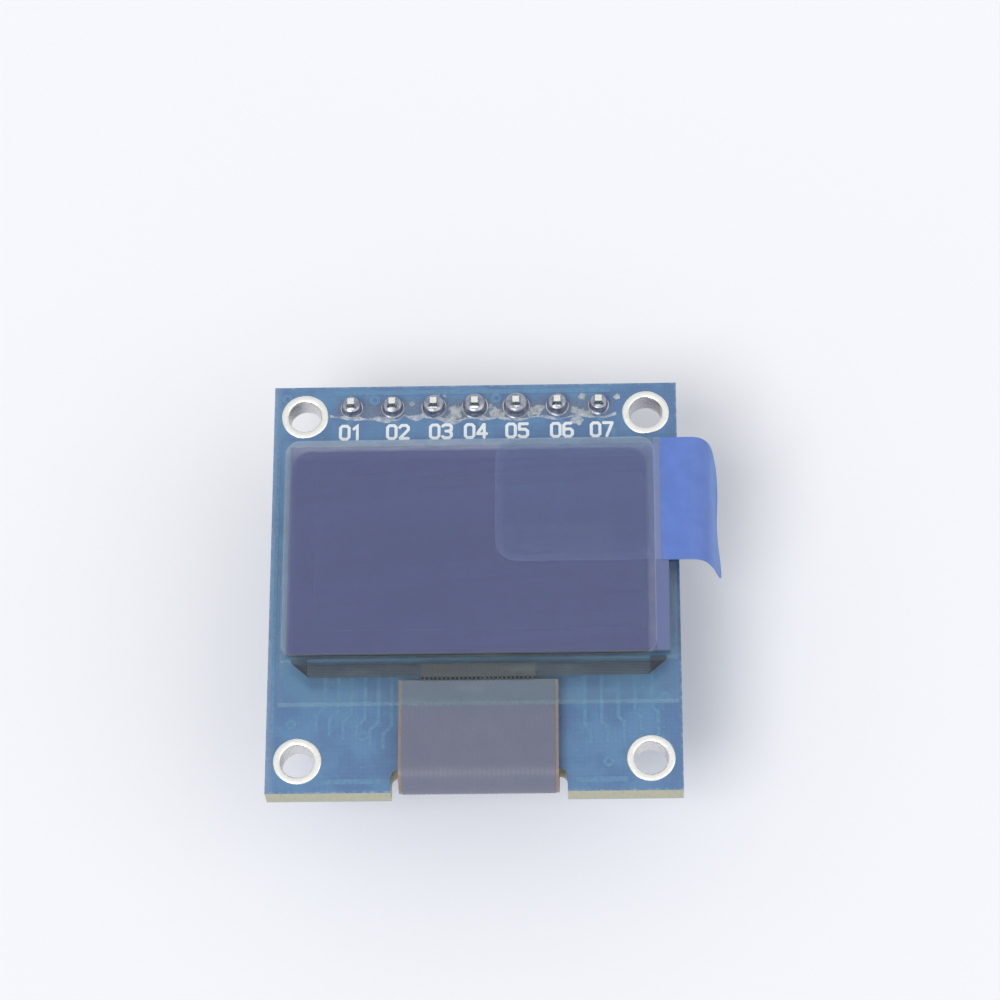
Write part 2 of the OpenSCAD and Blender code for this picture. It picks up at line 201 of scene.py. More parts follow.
class Shape:
    """Vertices in millimetres and faces of one piece."""

    def __init__(self):
        self.verts, self.faces, self.slots = [], [], []

    def add(self, verts, faces, slot=0):
        first = len(self.verts)
        self.verts += [tuple(v) for v in verts]
        self.faces += [tuple(first + i for i in f) for f in faces]
        self.slots += [slot] * len(faces)

    def rings(self, rings, slot=0, caps=True, closed=False):
        """Skin over rings of equal length; closed joins the last ring to the first."""
        n, count = len(rings[0]), len(rings)
        faces = []
        for i in range(count if closed else count - 1):
            a, b = i * n, (i + 1) % count * n
            faces += [(a + j, a + (j + 1) % n, b + (j + 1) % n, b + j) for j in range(n)]
        if caps and not closed:
            faces += [tuple(reversed(range(n))), tuple(range((count - 1) * n, count * n))]
        self.add([v for ring in rings for v in ring], faces, slot)

    def slab(self, outline, low, high, chamfer=0.0, slot=0):
        """Plate over outline(inset), with a chamfered upper or lower rim towards high."""
        away = math.copysign(chamfer, high - low)
        levels = [(0, low), (0, high - away), (chamfer, high)] if chamfer else [(0, low), (0, high)]
        rings = [[(x, y, z) for x, y in outline(inset)] for inset, z in levels]
        if high < low:
            rings.reverse()
        self.rings(rings, slot)

    def band(self, points, width, low, high, chamfer=0.0, slot=0, closed=False, cap=4):
        """Raised line of constant width with round ends, or a closed loop."""
        half, count = width / 2, len(points)
        stations = []
        for i, (x, y) in enumerate(points):
            before = points[i - 1] if closed or i else None
            after = points[(i + 1) % count] if closed or i < count - 1 else None
            d1 = Vector((x - before[0], y - before[1])).normalized() if before else None
            d2 = Vector((after[0] - x, after[1] - y)).normalized() if after else d1
            d1 = d1 or d2
            mid = (d1 + d2).normalized()
            normal = Vector((-mid.y, mid.x))
            stations.append((x, y, normal, 1 / max(normal.dot(Vector((-d1.y, d1.x))), 0.5)))
        if not closed:
            for place, sign in ((0, -1), (-1, 1)):
                x, y, normal, _ = stations[place]
                along = Vector((normal.y, -normal.x)) * sign
                ends = []
                for k in range(1, cap + 1):
                    a = math.pi / 2 * k / cap
                    grow = half * math.sin(a)
                    ends.append((x + along.x * grow, y + along.y * grow, normal, max(math.cos(a), 0.08)))
                stations = list(reversed(ends)) + stations if sign < 0 else stations + ends
        away = math.copysign(chamfer, high - low)
        rings = []
        for x, y, normal, stretch in stations:
            ring = []
            for side, inset, z in ((1, 0, low), (1, 0, high - away), (1, chamfer, high), (-1, chamfer, high), (-1, 0, high - away), (-1, 0, low)):
                reach = side * max(half * stretch - inset, 0.001)
                ring.append((x + normal.x * reach, y + normal.y * reach, z))
            rings.append(ring)
        self.rings(rings, slot, closed=closed)

    def lathe(self, centre, profile, steps=64, slot=0, wobble=None):
        """Closed profile of (radius, height) turned round a vertical line."""
        rings = []
        for k in range(steps):
            turn = 2 * math.pi * k / steps
            ring = []
            for r, z in profile:
                grow, lift = wobble(turn, r, z) if wobble else (0, 0)
                ring.append((centre[0] + (r + grow) * math.cos(turn), centre[1] + (r + grow) * math.sin(turn), z + lift))
            rings.append(ring)
        self.rings(rings, slot, closed=True)

    def piece(self, name, materials, replaces=(), smooth=40.0):
        mesh = bpy.data.meshes.new(name)
        mesh.from_pydata([tuple(c * MM for c in v) for v in self.verts], [], self.faces)
        for material in materials:
            mesh.materials.append(material.material)
        mesh.polygons.foreach_set("material_index", self.slots)
        mesh.validate()
        obj = bpy.data.objects.new(name, mesh)
        bpy.context.scene.collection.objects.link(obj)
        recalculate(mesh)
        if smooth:
            mesh.polygons.foreach_set("use_smooth", [True] * len(mesh.polygons))
            mesh.set_sharp_from_angle(angle=math.radians(smooth))
        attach(obj, "root")
        if replaces:
            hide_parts(*replaces)
        return obj


def recalculate(mesh):
    """Turns every face of a closed mesh outwards."""
    import bmesh
    work = bmesh.new()
    work.from_mesh(mesh)
    bmesh.ops.recalc_face_normals(work, faces=work.faces)
    work.to_mesh(mesh)
    work.free()


def rectangle(x0, y0, x1, y1, radius=0.0, steps=6):
    """Outline function of a rectangle with round corners."""
    def outline(inset=0.0):
        r = max(radius - inset, 0.0)
        points = []
        for cx, cy, start in ((x1, y1, 0), (x0, y1, 90), (x0, y0, 180), (x1, y0, 270)):
            sx, sy = (1 if start in (0, 270) else -1), (1 if start in (0, 90) else -1)
            px, py = cx - sx * (r + inset), cy - sy * (r + inset)
            if radius <= 0:
                points.append((px, py))
                continue
            for k in range(steps + 1):
                a = math.radians(start + 90 * k / steps)
                points.append((px + r * math.cos(a), py + r * math.sin(a)))
        return points
    return outline


def disc(x, y, radius, steps=32, wobble=0.0, seed=0):
    """Outline function of a disc, or of a blot when wobble is above 0."""
    rng = random.Random(seed)
    waves = [(rng.uniform(0, 6.28), rng.uniform(0.4, 1.0)) for _ in range(4)]

    def outline(inset=0.0):
        points = []
        for k in range(steps):
            a = 2 * math.pi * k / steps
            swell = 1 + wobble * sum(s * math.sin((i + 2) * a + p) for i, (p, s) in enumerate(waves)) / 2
            r = max(radius * swell - inset, 0.01)
            points.append((x + r * math.cos(a), y + r * math.sin(a)))
        return points
    return outline


def ring_plate(shape, x, y, inner, outer, low, high, steps=40, slot=0):
    shape.lathe((x, y), [(inner, low), (outer, low), (outer, high), (inner, high)], steps, slot)


# ---------------------------------------------------------------- places from the frame

BOARD_LOW, BOARD_HIGH = box_mm("board")
BACK = BOARD_LOW[2]
PINS = [((box_mm(f"header_pin_{i}")[0][0] + box_mm(f"header_pin_{i}")[1][0]) / 2) for i in range(1, 8)]
PIN_Y = (box_mm("header_pin_1")[0][1] + box_mm("header_pin_1")[1][1]) / 2
PIN_TOP, PIN_LOW = box_mm("header_pin_1")[1][2], box_mm("header_pin_1")[0][2]
GLASS_LOW, GLASS_HIGH = box_mm("substrate_glass")
CAP_LOW, CAP_HIGH = box_mm("cap_glass")
POL_LOW, POL_HIGH = box_mm("polarizer")
FILM_LOW, FILM_HIGH = box_mm("protective_film")
TAPE_LOW, TAPE_HIGH = box_mm("tab_tape")
GRIP_LOW, GRIP_HIGH = box_mm("tab_grip")
FLEX_LOW, FLEX_HIGH = box_mm("flex_cable")
CHIP_LOW, CHIP_HIGH = box_mm("driver_chip")
GLASS_MID = (GLASS_LOW[0] + GLASS_HIGH[0]) / 2
LEDGE_TOP = CAP_LOW[1]

# ---------------------------------------------------------------- materials of the pieces

MASK_BLUE = (0.105, 0.225, 0.405)
MASK_DEEP = (0.088, 0.175, 0.345)
INK_WHITE = (0.83, 0.86, 0.88)


def board_material():
    s = Shader("board_blue_mask", Specular_IOR_Level=0.5)
    cloud = s.noise(0.45, 3.0)
    fine = s.noise(9.0, 4.0)
    mask = s.mix(s.step(cloud, 0.38, 0.62), MASK_BLUE, MASK_DEEP)
    mask = s.mix(s.math("MULTIPLY", s.step(fine, 0.5, 0.75), 0.35), mask, (0.135, 0.28, 0.47))
    weave = s.node("ShaderNodeTexWave", {"Vector": s.mm(), "Scale": 1.1, "Distortion": 0.6, "Detail": 1.0},
                   bands_direction="X")
    weave_y = s.node("ShaderNodeTexWave", {"Vector": s.mm(), "Scale": 1.1, "Distortion": 0.6, "Detail": 1.0},
                     bands_direction="Y")
    grid = s.math("MULTIPLY", weave.outputs["Fac"], weave_y.outputs["Fac"])
    mask = s.mix(s.math("MULTIPLY", grid, 0.12), mask, (0.15, 0.30, 0.50))
    # worn, paler line where the board was cut
    half_x, half_y = BOARD_HIGH[0], BOARD_HIGH[1]
    rim = s.rounded_box((0, 0), (half_x, half_y), 0.05)
    worn = s.math("MULTIPLY", s.step(rim, -0.16, -0.02), s.step(s.noise(2.6, 4.0, 0.7), 0.42, 0.68))
    mask = s.mix(s.math("MULTIPLY", worn, 0.55), mask, (0.42, 0.52, 0.62))
    # paler strip along the left edge: partly worn mask, partly a painted reflection of a pale wall beside the board
    left = s.math("MULTIPLY", s.step(s.axis("X"), BOARD_LOW[0] + 0.7, BOARD_LOW[0] + 0.1), s.noise(1.2, 4.0, 0.7))
    mask = s.mix(s.math("MULTIPLY", left, 0.5), mask, (0.36, 0.44, 0.58))
    scratch = s.noise(5.0, 2.0, 0.5, squeeze=(0.35, 2.4, 1.0), warp=0.4)
    mask = s.mix(s.math("MULTIPLY", s.step(scratch, 0.69, 0.74), 0.35), mask, (0.4, 0.52, 0.66))
    # sawn side: glass fibre layers between two films of mask
    layers = s.node("ShaderNodeTexWave", {"Vector": s.mm(), "Scale": 1.55, "Distortion": 1.2, "Detail": 3.0,
                                          "Detail Scale": 3.0}, bands_direction="Z").outputs["Fac"]
    fibre = s.mix(layers, (0.42, 0.41, 0.28), (0.50, 0.49, 0.36))
    fibre = s.mix(s.step(s.noise(7.0, 4.0, 0.7, squeeze=(1.0, 1.0, 0.25)), 0.45, 0.8), fibre, (0.34, 0.36, 0.27))
    z = s.axis("Z")
    near_face = s.math("MAXIMUM", s.step(z, -0.07, -0.03), s.step(z, BACK + 0.07, BACK + 0.03))
    fibre = s.mix(near_face, fibre, MASK_DEEP)
    side = s.step(s.math("ABSOLUTE", s.facing("Z")), 0.7, 0.3)
    s.set(Base_Color=s.mix(side, mask, fibre))
    s.set(Roughness=s.step(side, 0.0, 1.0, 0.33, 0.85))
    relief = s.math("ADD", s.math("MULTIPLY", grid, 0.35), s.math("MULTIPLY", s.noise(3.0, 3.0), 0.65))
    rough_side = s.math("MULTIPLY", s.noise(14.0, 3.0, 0.6, squeeze=(1.0, 1.0, 0.3)), s.math("MULTIPLY", side, 3.0))
    s.set(Normal=s.bump(s.math("ADD", relief, rough_side), 0.012), Coat_Weight=0.35, Coat_Roughness=0.12)
    return s


def copper_under_mask():
    """Tracks under the mask: a little paler and greener than the bare laminate."""
    s = Shader("mask_over_copper", Coat_Weight=0.35, Coat_Roughness=0.12, Roughness=0.3)
    s.set(Base_Color=s.mix(s.step(s.noise(4.0, 4.0), 0.35, 0.7), (0.125, 0.265, 0.43), (0.10, 0.215, 0.375)),
          Normal=s.bump(s.noise(6.0, 3.0), 0.01))
    return s


def ink_material():
    s = Shader("white_ink", Roughness=0.55)
    worn = s.step(s.noise(9.0, 4.0, 0.7), 0.60, 0.78)
    s.set(Base_Color=s.mix(s.math("MULTIPLY", worn, 0.5), INK_WHITE, (0.45, 0.55, 0.66)),
          Normal=s.bump(s.noise(22.0, 3.0), 0.012))
    return s


def tin_material(name, colour=(0.80, 0.80, 0.78), dull=(0.52, 0.50, 0.47), rough=(0.16, 0.42), scale=3.0, painted_bore_shade=False):
    """Tin or solder: bright, with duller crystalline patches and fine waves; for a plated hole, painted shade on the
    steep bore walls.
    """
    s = Shader(name, Metallic=1.0)
    patch = s.step(s.noise(scale, 5.0, 0.65), 0.40, 0.68)
    tone = s.mix(patch, colour, dull)
    if painted_bore_shade:
        # painted shade: the steep walls of the bore are darkened, as the inside of the hole lies in shade
        inside = s.step(s.math("ABSOLUTE", s.facing("Z")), 0.35, 0.1)
        tone = s.mix(s.math("MULTIPLY", inside, 0.45), tone, (0.42, 0.39, 0.42))
    s.set(Base_Color=tone, Roughness=s.step(patch, 0.0, 1.0, *rough))
    grain = s.cells(scale * 2.6, "SMOOTH_F1")
    s.set(Normal=s.bump(s.math("ADD", s.math("MULTIPLY", grain, 0.5), s.noise(scale * 1.5, 4.0)), 0.012))
    return s


def pin_material():
    s = Shader("pin_gilt", Metallic=1.0)
    s.set(Base_Color=s.mix(s.step(s.noise(5.0, 4.0), 0.4, 0.7), (0.98, 0.96, 0.90), (0.90, 0.87, 0.78)),
          Roughness=s.step(s.noise(8.0, 4.0), 0.3, 0.8, 0.16, 0.38),
          Normal=s.bump(s.noise(18.0, 2.0, 0.5, squeeze=(3.0, 3.0, 0.15)), 0.006))
    return s


def plastic_material():
    s = Shader("black_plastic", Specular_IOR_Level=0.45)
    s.set(Base_Color=s.mix(s.noise(3.0, 4.0), (0.012, 0.012, 0.013), (0.026, 0.026, 0.028)),
          Roughness=s.step(s.noise(12.0, 3.0), 0.3, 0.7, 0.42, 0.6),
          Normal=s.bump(s.noise(26.0, 3.0, 0.6), 0.01))
    return s


def glass_material(name, edge=(0.42, 0.60, 0.62)):
    """Clear glass with a faint green ground edge."""
    s = Shader(name)
    rim = s.step(s.math("ABSOLUTE", s.facing("Z")), 0.7, 0.3)
    fresnel = s.node("ShaderNodeFresnel", {"IOR": 1.5}).outputs[0]
    grain = s.noise(11.0, 4.0, 0.7)
    smear = s.math("MULTIPLY", s.step(s.noise(0.5, 4.0, 0.7, squeeze=(0.6, 1.8, 1.0)), 0.5, 0.8), 0.10)
    haze = s.math("ADD", s.math("MULTIPLY", rim, s.step(s.noise(5.0, 3.0), 0.3, 0.7, 0.22, 0.34)), smear)
    s.clear(fresnel, 0.04, haze=haze, haze_colour=edge, tint=(0.94, 0.98, 0.98), normal=s.bump(grain, 0.0015))
    return s


def polarizer_material():
    """Dark polarizer: near black with a faint blue cast of its own, lifted to navy by a painted hazy sheen, with faint
    mottling and a paler cut edge.
    """
    s = Shader("dark_polarizer", Roughness=0.42, Specular_IOR_Level=0.25)
    # painted sheen: the navy tone stands for a pale haze of light over the near-black polarizer
    tone = s.mix(s.noise(0.22, 2.0), (0.094, 0.112, 0.262), (0.112, 0.130, 0.290))
    tone = s.mix(s.math("MULTIPLY", s.noise(16.0, 3.0, 0.7), 0.25), tone, (0.135, 0.155, 0.31))
    bare = s.step(s.axis("X"), FILM_HIGH[0] - 0.02, FILM_HIGH[0] + 0.02)
    tone = s.mix(s.math("MULTIPLY", bare, 0.6), tone, (0.17, 0.21, 0.37))
    rim = s.rounded_box(((POL_LOW[0] + POL_HIGH[0]) / 2, (POL_LOW[1] + POL_HIGH[1]) / 2),
                        ((POL_HIGH[0] - POL_LOW[0]) / 2, (POL_HIGH[1] - POL_LOW[1]) / 2), 0.01)
    s.set(Base_Color=s.mix(s.step(rim, -0.06, -0.01), tone, (0.12, 0.14, 0.2)), Normal=s.bump(s.noise(20.0, 2.0), 0.003))
    return s


def film_material():
    """Protective film: clear where it has wetted the display, pale and hazy along its rim."""
    s = Shader("protective_film")
    left, right = POL_LOW[0] + 0.1, FILM_HIGH[0] - 0.45
    top, low = POL_HIGH[1] - 0.32, POL_LOW[1] - 3.0
    wobble = s.math("MULTIPLY", s.math("SUBTRACT", s.noise(1.1, 3.0, 0.6), 0.5), 0.16)
    wet = s.math("ADD", s.rounded_box(((left + right) / 2, (top + low) / 2), ((right - left) / 2, (top - low) / 2), 1.25), wobble)
    dry = s.step(wet, -0.10, 0.16)
    rough_haze = s.step(s.noise(1.6, 5.0, 0.7, squeeze=(0.7, 1.6, 1.0)), 0.3, 0.75, 0.10, 0.20)
    upper = s.step(s.axis("Y"), top - 0.5, top + 0.3)
    rough_haze = s.math("MULTIPLY", rough_haze, s.step(upper, 0.0, 1.0, 0.7, 1.5))
    line = s.math("MULTIPLY", s.step(s.math("ABSOLUTE", wet), 0.09, 0.0), 0.03)
    edge = s.rounded_box(((FILM_LOW[0] + FILM_HIGH[0]) / 2, (FILM_LOW[1] + FILM_HIGH[1]) / 2),
                         ((FILM_HIGH[0] - FILM_LOW[0]) / 2, (FILM_HIGH[1] - FILM_LOW[1]) / 2), 0.9)
    # painted highlight: a pale band along the film's cut edge, stronger towards the right
    cut = s.math("MULTIPLY", s.step(edge, -0.10, -0.02), s.step(s.axis("X"), 9.0, 10.8, 0.05, 0.14))
    speck = s.math("MULTIPLY", s.step(s.cells(0.75), 0.045, 0.02), 0.25)
    haze = s.math("ADD", s.math("MULTIPLY", dry, rough_haze), s.math("MAXIMUM", line, s.math("MAXIMUM", cut, speck)), clamp=True)
    up = s.step(s.facing("Z"), 0.4, 0.6)
    fresnel = s.node("ShaderNodeFresnel", {"IOR": 1.42}).outputs[0]
    s.clear(s.math("MULTIPLY", fresnel, up), 0.12, haze=s.math("MULTIPLY", haze, up), haze_colour=(0.62, 0.68, 0.80),
            normal=s.bump(s.noise(2.2, 3.0), 0.008))
    return s


def tape_material():
    """Clear tape of the pull tab: faint blue cast, paler where its rim has lifted, with a painted highlight along its
    cut edges.
    """
    s = Shader("tab_clear_tape")
    left, right = TAPE_LOW[0] + 0.42, FILM_HIGH[0] - 0.38
    top, low = TAPE_HIGH[1] - 0.62, TAPE_LOW[1] + 0.42
    wobble = s.math("MULTIPLY", s.math("SUBTRACT", s.noise(1.3, 3.0, 0.6), 0.5), 0.14)
    stuck = s.math("ADD", s.rounded_box(((left + right) / 2, (top + low) / 2), ((right - left) / 2, (top - low) / 2), 1.15), wobble)
    on_film = s.step(s.axis("X"), FILM_HIGH[0] + 0.1, FILM_HIGH[0] - 0.05)
    on_grip = s.step(s.axis("X"), GRIP_LOW[0] - 0.02, GRIP_LOW[0] + 0.02)
    bridge = s.math("SUBTRACT", s.math("SUBTRACT", 1.0, on_film), on_grip, clamp=True)
    lifted = s.math("MULTIPLY", s.step(stuck, -0.1, 0.12), s.step(s.noise(1.8, 4.0, 0.7), 0.3, 0.7, 0.015, 0.04))
    # painted highlight: a thin pale line along the tape's cut edges, where they catch the light
    edge = s.rounded_box(((TAPE_LOW[0] + GRIP_LOW[0]) / 2 + 3, (TAPE_LOW[1] + TAPE_HIGH[1]) / 2),
                         ((GRIP_LOW[0] - TAPE_LOW[0]) / 2 + 3, (TAPE_HIGH[1] - TAPE_LOW[1]) / 2), 1.3)
    cut = s.math("MULTIPLY", s.step(edge, -0.10, -0.02), 0.08)
    crease = s.math("MULTIPLY", s.step(s.math("ABSOLUTE", s.math("SUBTRACT", s.axis("X"), FILM_HIGH[0])), 0.09, 0.02), 0.16)
    body = s.math("ADD", s.math("MULTIPLY", on_film, 0.02), s.math("MULTIPLY", bridge, 0.13))
    rims = s.math("MULTIPLY", s.math("MAXIMUM", s.math("MAXIMUM", lifted, cut), crease), s.math("SUBTRACT", 1.0, on_grip))
    haze = s.math("ADD", body, rims, clamp=True)
    up = s.math("MULTIPLY", s.step(s.facing("Z"), 0.1, 0.3), s.step(on_grip, 0.0, 1.0, 1.0, 0.04))
    fresnel = s.node("ShaderNodeFresnel", {"IOR": 1.42}).outputs[0]
    s.clear(s.math("MULTIPLY", fresnel, up), 0.14, haze=s.math("MULTIPLY", haze, up), haze_colour=(0.46, 0.54, 0.84),
            tint=(0.95, 0.98, 1.0), normal=s.bump(s.noise(1.7, 3.0), 0.008))
    return s


def grip_material():
    """Blue film of the grip: nearly opaque, with faint mottling and a painted highlight as a paler band along its
    curled free edge.
    """
    s = Shader("tab_blue_film", Roughness=0.45, Specular_IOR_Level=0.12)
    mottle = s.step(s.noise(0.9, 5.0, 0.65), 0.3, 0.75)
    tone = s.mix(mottle, (0.165, 0.245, 0.60), (0.190, 0.275, 0.65))
    # painted highlight: a paler cyan band where the grip curls down at its free edge
    bend_highlight = s.math("MULTIPLY", s.step(s.axis("X"), GRIP_HIGH[0] - 0.95, GRIP_HIGH[0] - 0.45), 0.35)
    tone = s.mix(bend_highlight, tone, (0.26, 0.42, 0.76))
    s.set(Base_Color=tone, Normal=s.bump(s.noise(1.4, 4.0, 0.6), 0.02))
    s.set(Alpha=s.step(s.noise(1.1, 3.0), 0.2, 0.8, 0.95, 0.88))
    return s


def flex_base_material():
    s = Shader("flex_polyimide", Roughness=0.3)
    s.set(Base_Color=s.mix(s.noise(2.0, 4.0), (0.27, 0.19, 0.16), (0.36, 0.28, 0.25)),
          Normal=s.bump(s.noise(6.0, 3.0), 0.006))
    s.set(Alpha=s.step(s.noise(3.0, 3.0), 0.2, 0.8, 0.88, 0.78))
    return s


def flex_cover_material():
    """Dark cover layer over the conductors: matt, with fine ribs and a slight wave."""
    s = Shader("flex_cover", Roughness=0.42, Specular_IOR_Level=0.4)
    tone = s.mix(s.noise(0.7, 4.0, 0.6), (0.140, 0.152, 0.215), (0.175, 0.185, 0.250))
    tone = s.mix(s.math("MULTIPLY", s.step(s.noise(9.0, 4.0, 0.7), 0.55, 0.75), 0.3), tone, (0.23, 0.24, 0.30))
    s.set(Base_Color=tone, Normal=s.bump(s.noise(5.0, 4.0, 0.6), 0.01))
    return s


def foam_material():
    s = Shader("black_foam", Roughness=0.9)
    pores = s.cells(9.0)
    s.set(Base_Color=s.mix(s.step(pores, 0.15, 0.5), (0.012, 0.012, 0.013), (0.045, 0.045, 0.048)),
          Normal=s.bump(pores, 0.05))
    return s


def part_material(name, body, body_2, axis, ends=(0.1875, 0.8125)):
    """Chip part along one axis: ceramic body between two tinned ends."""
    s = Shader(name)
    where = s.node("ShaderNodeTexCoord").outputs["Generated"]
    along = s.node("ShaderNodeSeparateXYZ", {0: where}).outputs[axis]
    metal = s.math("MAXIMUM", s.step(along, ends[0] + 0.008, ends[0] - 0.008), s.step(along, ends[1] - 0.008, ends[1] + 0.008))
    grain = s.noise(14.0, 4.0, 0.7)
    s.set(Base_Color=s.mix(metal, s.mix(grain, body, body_2), s.mix(grain, (0.78, 0.78, 0.76), (0.60, 0.59, 0.57))),
          Metallic=metal, Roughness=s.step(metal, 0.0, 1.0, 0.5, 0.28), Normal=s.bump(s.noise(9.0, 4.0, 0.6), 0.02))
    return s


def flux_material(name, colour, colour_2, thin, thick, scale=2.4, fade=False):
    """Dried flux: patchy, between clear and milky."""
    s = Shader(name, Roughness=0.38, Specular_IOR_Level=0.5)
    patch = s.noise(scale, 5.0, 0.7)
    alpha = s.step(patch, 0.32, 0.68, thin, thick)
    if fade:
        ends = s.math("MULTIPLY", s.step(s.axis("X"), -8.9, -8.2), s.step(s.axis("X"), 8.7, 7.9))
        upper = s.step(s.math("ADD", s.axis("Y"), s.noise(0.9, 3.0)), 13.1, 12.3)
        alpha = s.math("MULTIPLY", alpha, s.math("MULTIPLY", ends, upper))
    s.set(Base_Color=s.mix(patch, colour, colour_2), Alpha=alpha, Normal=s.bump(s.noise(6.0, 4.0, 0.65), 0.03))
    return s


MASK = board_material()
TRACK = copper_under_mask()
INK = ink_material()
SOLDER = tin_material("solder_tin", (0.62, 0.61, 0.61), (0.36, 0.35, 0.35), (0.2, 0.4))
# header domes: a darker, bluish copy of the solder tin, partly duller flux-glazed solder and partly a painted dark
# reflection of the surroundings
DULL_SHADED_DOME_TIN = tin_material("dome_tin_dull_and_shaded", (0.46, 0.47, 0.54), (0.25, 0.25, 0.31), (0.28, 0.48), 2.4)
RING_TIN = tin_material("ring_tin", (0.97, 0.97, 0.94), (0.93, 0.91, 0.84), (0.24, 0.42), 2.0, painted_bore_shade=True)
PAD_TIN = tin_material("pad_tin", (0.80, 0.80, 0.78), (0.62, 0.60, 0.56), (0.22, 0.4))
LEAD_TIN = tin_material("lead_tin", (0.78, 0.78, 0.77), (0.60, 0.60, 0.58), (0.2, 0.36), 5.0)
PIN_METAL = pin_material()
PLASTIC = plastic_material()
FRONT_GLASS = glass_material("front_glass")
CAP_GLASS = glass_material("cap_glass")
POLARIZER = polarizer_material()
FILM = film_material()
TAPE = tape_material()
GRIP = grip_material()
FLEX_BASE = flex_base_material()
FLEX_COVER = flex_cover_material()
FOAM = foam_material()
FLUX_RIM = flux_material("flux_rim", (0.55, 0.62, 0.72), (0.74, 0.78, 0.84), 0.25, 0.70)
FLUX_FILM = flux_material("flux_film", (0.24, 0.25, 0.32), (0.40, 0.42, 0.48), 0.06, 0.34, fade=True)
FLUX_LUMP = flux_material("flux_lump", (0.60, 0.66, 0.72), (0.78, 0.82, 0.80), 0.22, 0.62)

# ---------------------------------------------------------------- CAD pieces with their finish


def dress(node, shader, bevel=0.0):
    """Puts a material on a CAD piece, and rounds its edges by a modifier where bevel is given."""
    obj = NODES[node]
    obj.data.materials.clear()
    obj.data.materials.append(shader.material)
    if bevel:
        soft = obj.modifiers.new("soft_edges", "BEVEL")
        soft.width = bevel * MM
        soft.segments = 2
        soft.limit_method = "ANGLE"
        soft.angle_limit = math.radians(40)


dress("board", MASK)
dress("foam_tape", FOAM)
dress("cap_glass", CAP_GLASS)
dress("substrate_glass", FRONT_GLASS)
dress("polarizer", POLARIZER)
dress("protective_film", FILM)
dress("header_strip", PLASTIC, 0.05)
dress("component_solder", SOLDER)
dress("flex_solder", SOLDER)
dress("regulator_leads", LEAD_TIN)
for i in range(1, 8):
    dress(f"header_pin_{i}", PIN_METAL, 0.03)


def chip_material():
    s = Shader("chip_face", Metallic=0.6, Roughness=0.3)
    lines = s.node("ShaderNodeTexWave", {"Vector": s.mm(), "Scale": 3.2}, bands_direction="X").outputs["Fac"]
    s.set(Base_Color=s.mix(lines, (0.06, 0.06, 0.07), (0.12, 0.12, 0.13)), Normal=s.bump(lines, 0.004))
    return s


def epoxy_material():
    s = Shader("regulator_epoxy", Roughness=0.5)
    s.set(Base_Color=s.mix(s.noise(4.0, 4.0), (0.014, 0.014, 0.015), (0.030, 0.030, 0.031)),
          Normal=s.bump(s.noise(30.0, 3.0, 0.7), 0.012))
    return s


def desiccant_material():
    s = Shader("desiccant_felt", Roughness=0.9)
    s.set(Base_Color=s.mix(s.noise(5.0, 5.0), (0.62, 0.60, 0.55), (0.78, 0.76, 0.70)), Normal=s.bump(s.noise(12.0, 4.0), 0.03))
    return s


dress("driver_chip", chip_material())
dress("regulator_body", epoxy_material(), 0.04)
dress("desiccant_sheet", desiccant_material())
RESISTOR = part_material("resistor_finish", (0.018, 0.018, 0.02), (0.035, 0.034, 0.034), "X")
CAPACITOR_X = part_material("capacitor_finish_x", (0.30, 0.21, 0.13), (0.40, 0.29, 0.19), "X")
CAPACITOR_Y = part_material("capacitor_finish_y", (0.30, 0.21, 0.13), (0.40, 0.29, 0.19), "Y")
PARTS = []
for i in range(1, 7):
    dress(f"resistor_{i}", RESISTOR, 0.035)
    PARTS.append(box_mm(f"resistor_{i}"))
for i in range(1, 8):
    low, high = box_mm(f"capacitor_{i}")
    dress(f"capacitor_{i}", CAPACITOR_X if high[0] - low[0] > high[1] - low[1] else CAPACITOR_Y, 0.06)
    PARTS.append((low, high))

# ---------------------------------------------------------------- plated rings


def waves(seed, count, size):
    rng = random.Random(seed)
    terms = [(n, rng.uniform(0, 6.28), rng.uniform(-size, size)) for n in range(1, count + 1)]
    return lambda a: sum(s * math.sin(n * a + p) for n, p, s in terms)


for i in range(1, 5):
    low, high = box_mm(f"hole_plating_{i}")
    centre = ((low[0] + high[0]) / 2, (low[1] + high[1]) / 2)
    outer = (high[0] - low[0]) / 2
    bore, proud = 1.0, high[2]
    lump, spread = waves(i, 7, 0.006), waves(20 + i, 6, 0.007)
    upper = [(outer, 0.0), (outer - 0.02, proud * 0.45), (outer - 0.08, proud * 0.72), (outer - 0.2, proud * 0.88),
             (bore + 0.12, proud * 0.82), (bore + 0.05, proud * 0.5), (bore + 0.012, 0.0), (bore, -0.08)]
    profile = upper + [(r, BACK - z) for r, z in reversed(upper)] + [(bore + 0.08, BACK), (bore + 0.08, 0.0)]

    def wobble(turn, r, z, lump=lump, spread=spread, outer=outer):
        out = 1.0 if r > 1.3 else 0.0
        rim = 0.0 if BACK < z < 0.0 else math.copysign(1.0, z + 0.8)
        return -abs(spread(turn)) * out * 1.6, -abs(lump(turn)) * rim * (1.0 if 1.03 < r < 1.44 else 0.0)
    rim = Shape()
    rim.lathe(centre, profile, 96, wobble=wobble)
    rim.piece(f"hole_rim_{i}", [RING_TIN], [f"hole_plating_{i}"], smooth=60)

# ---------------------------------------------------------------- solder domes of the header

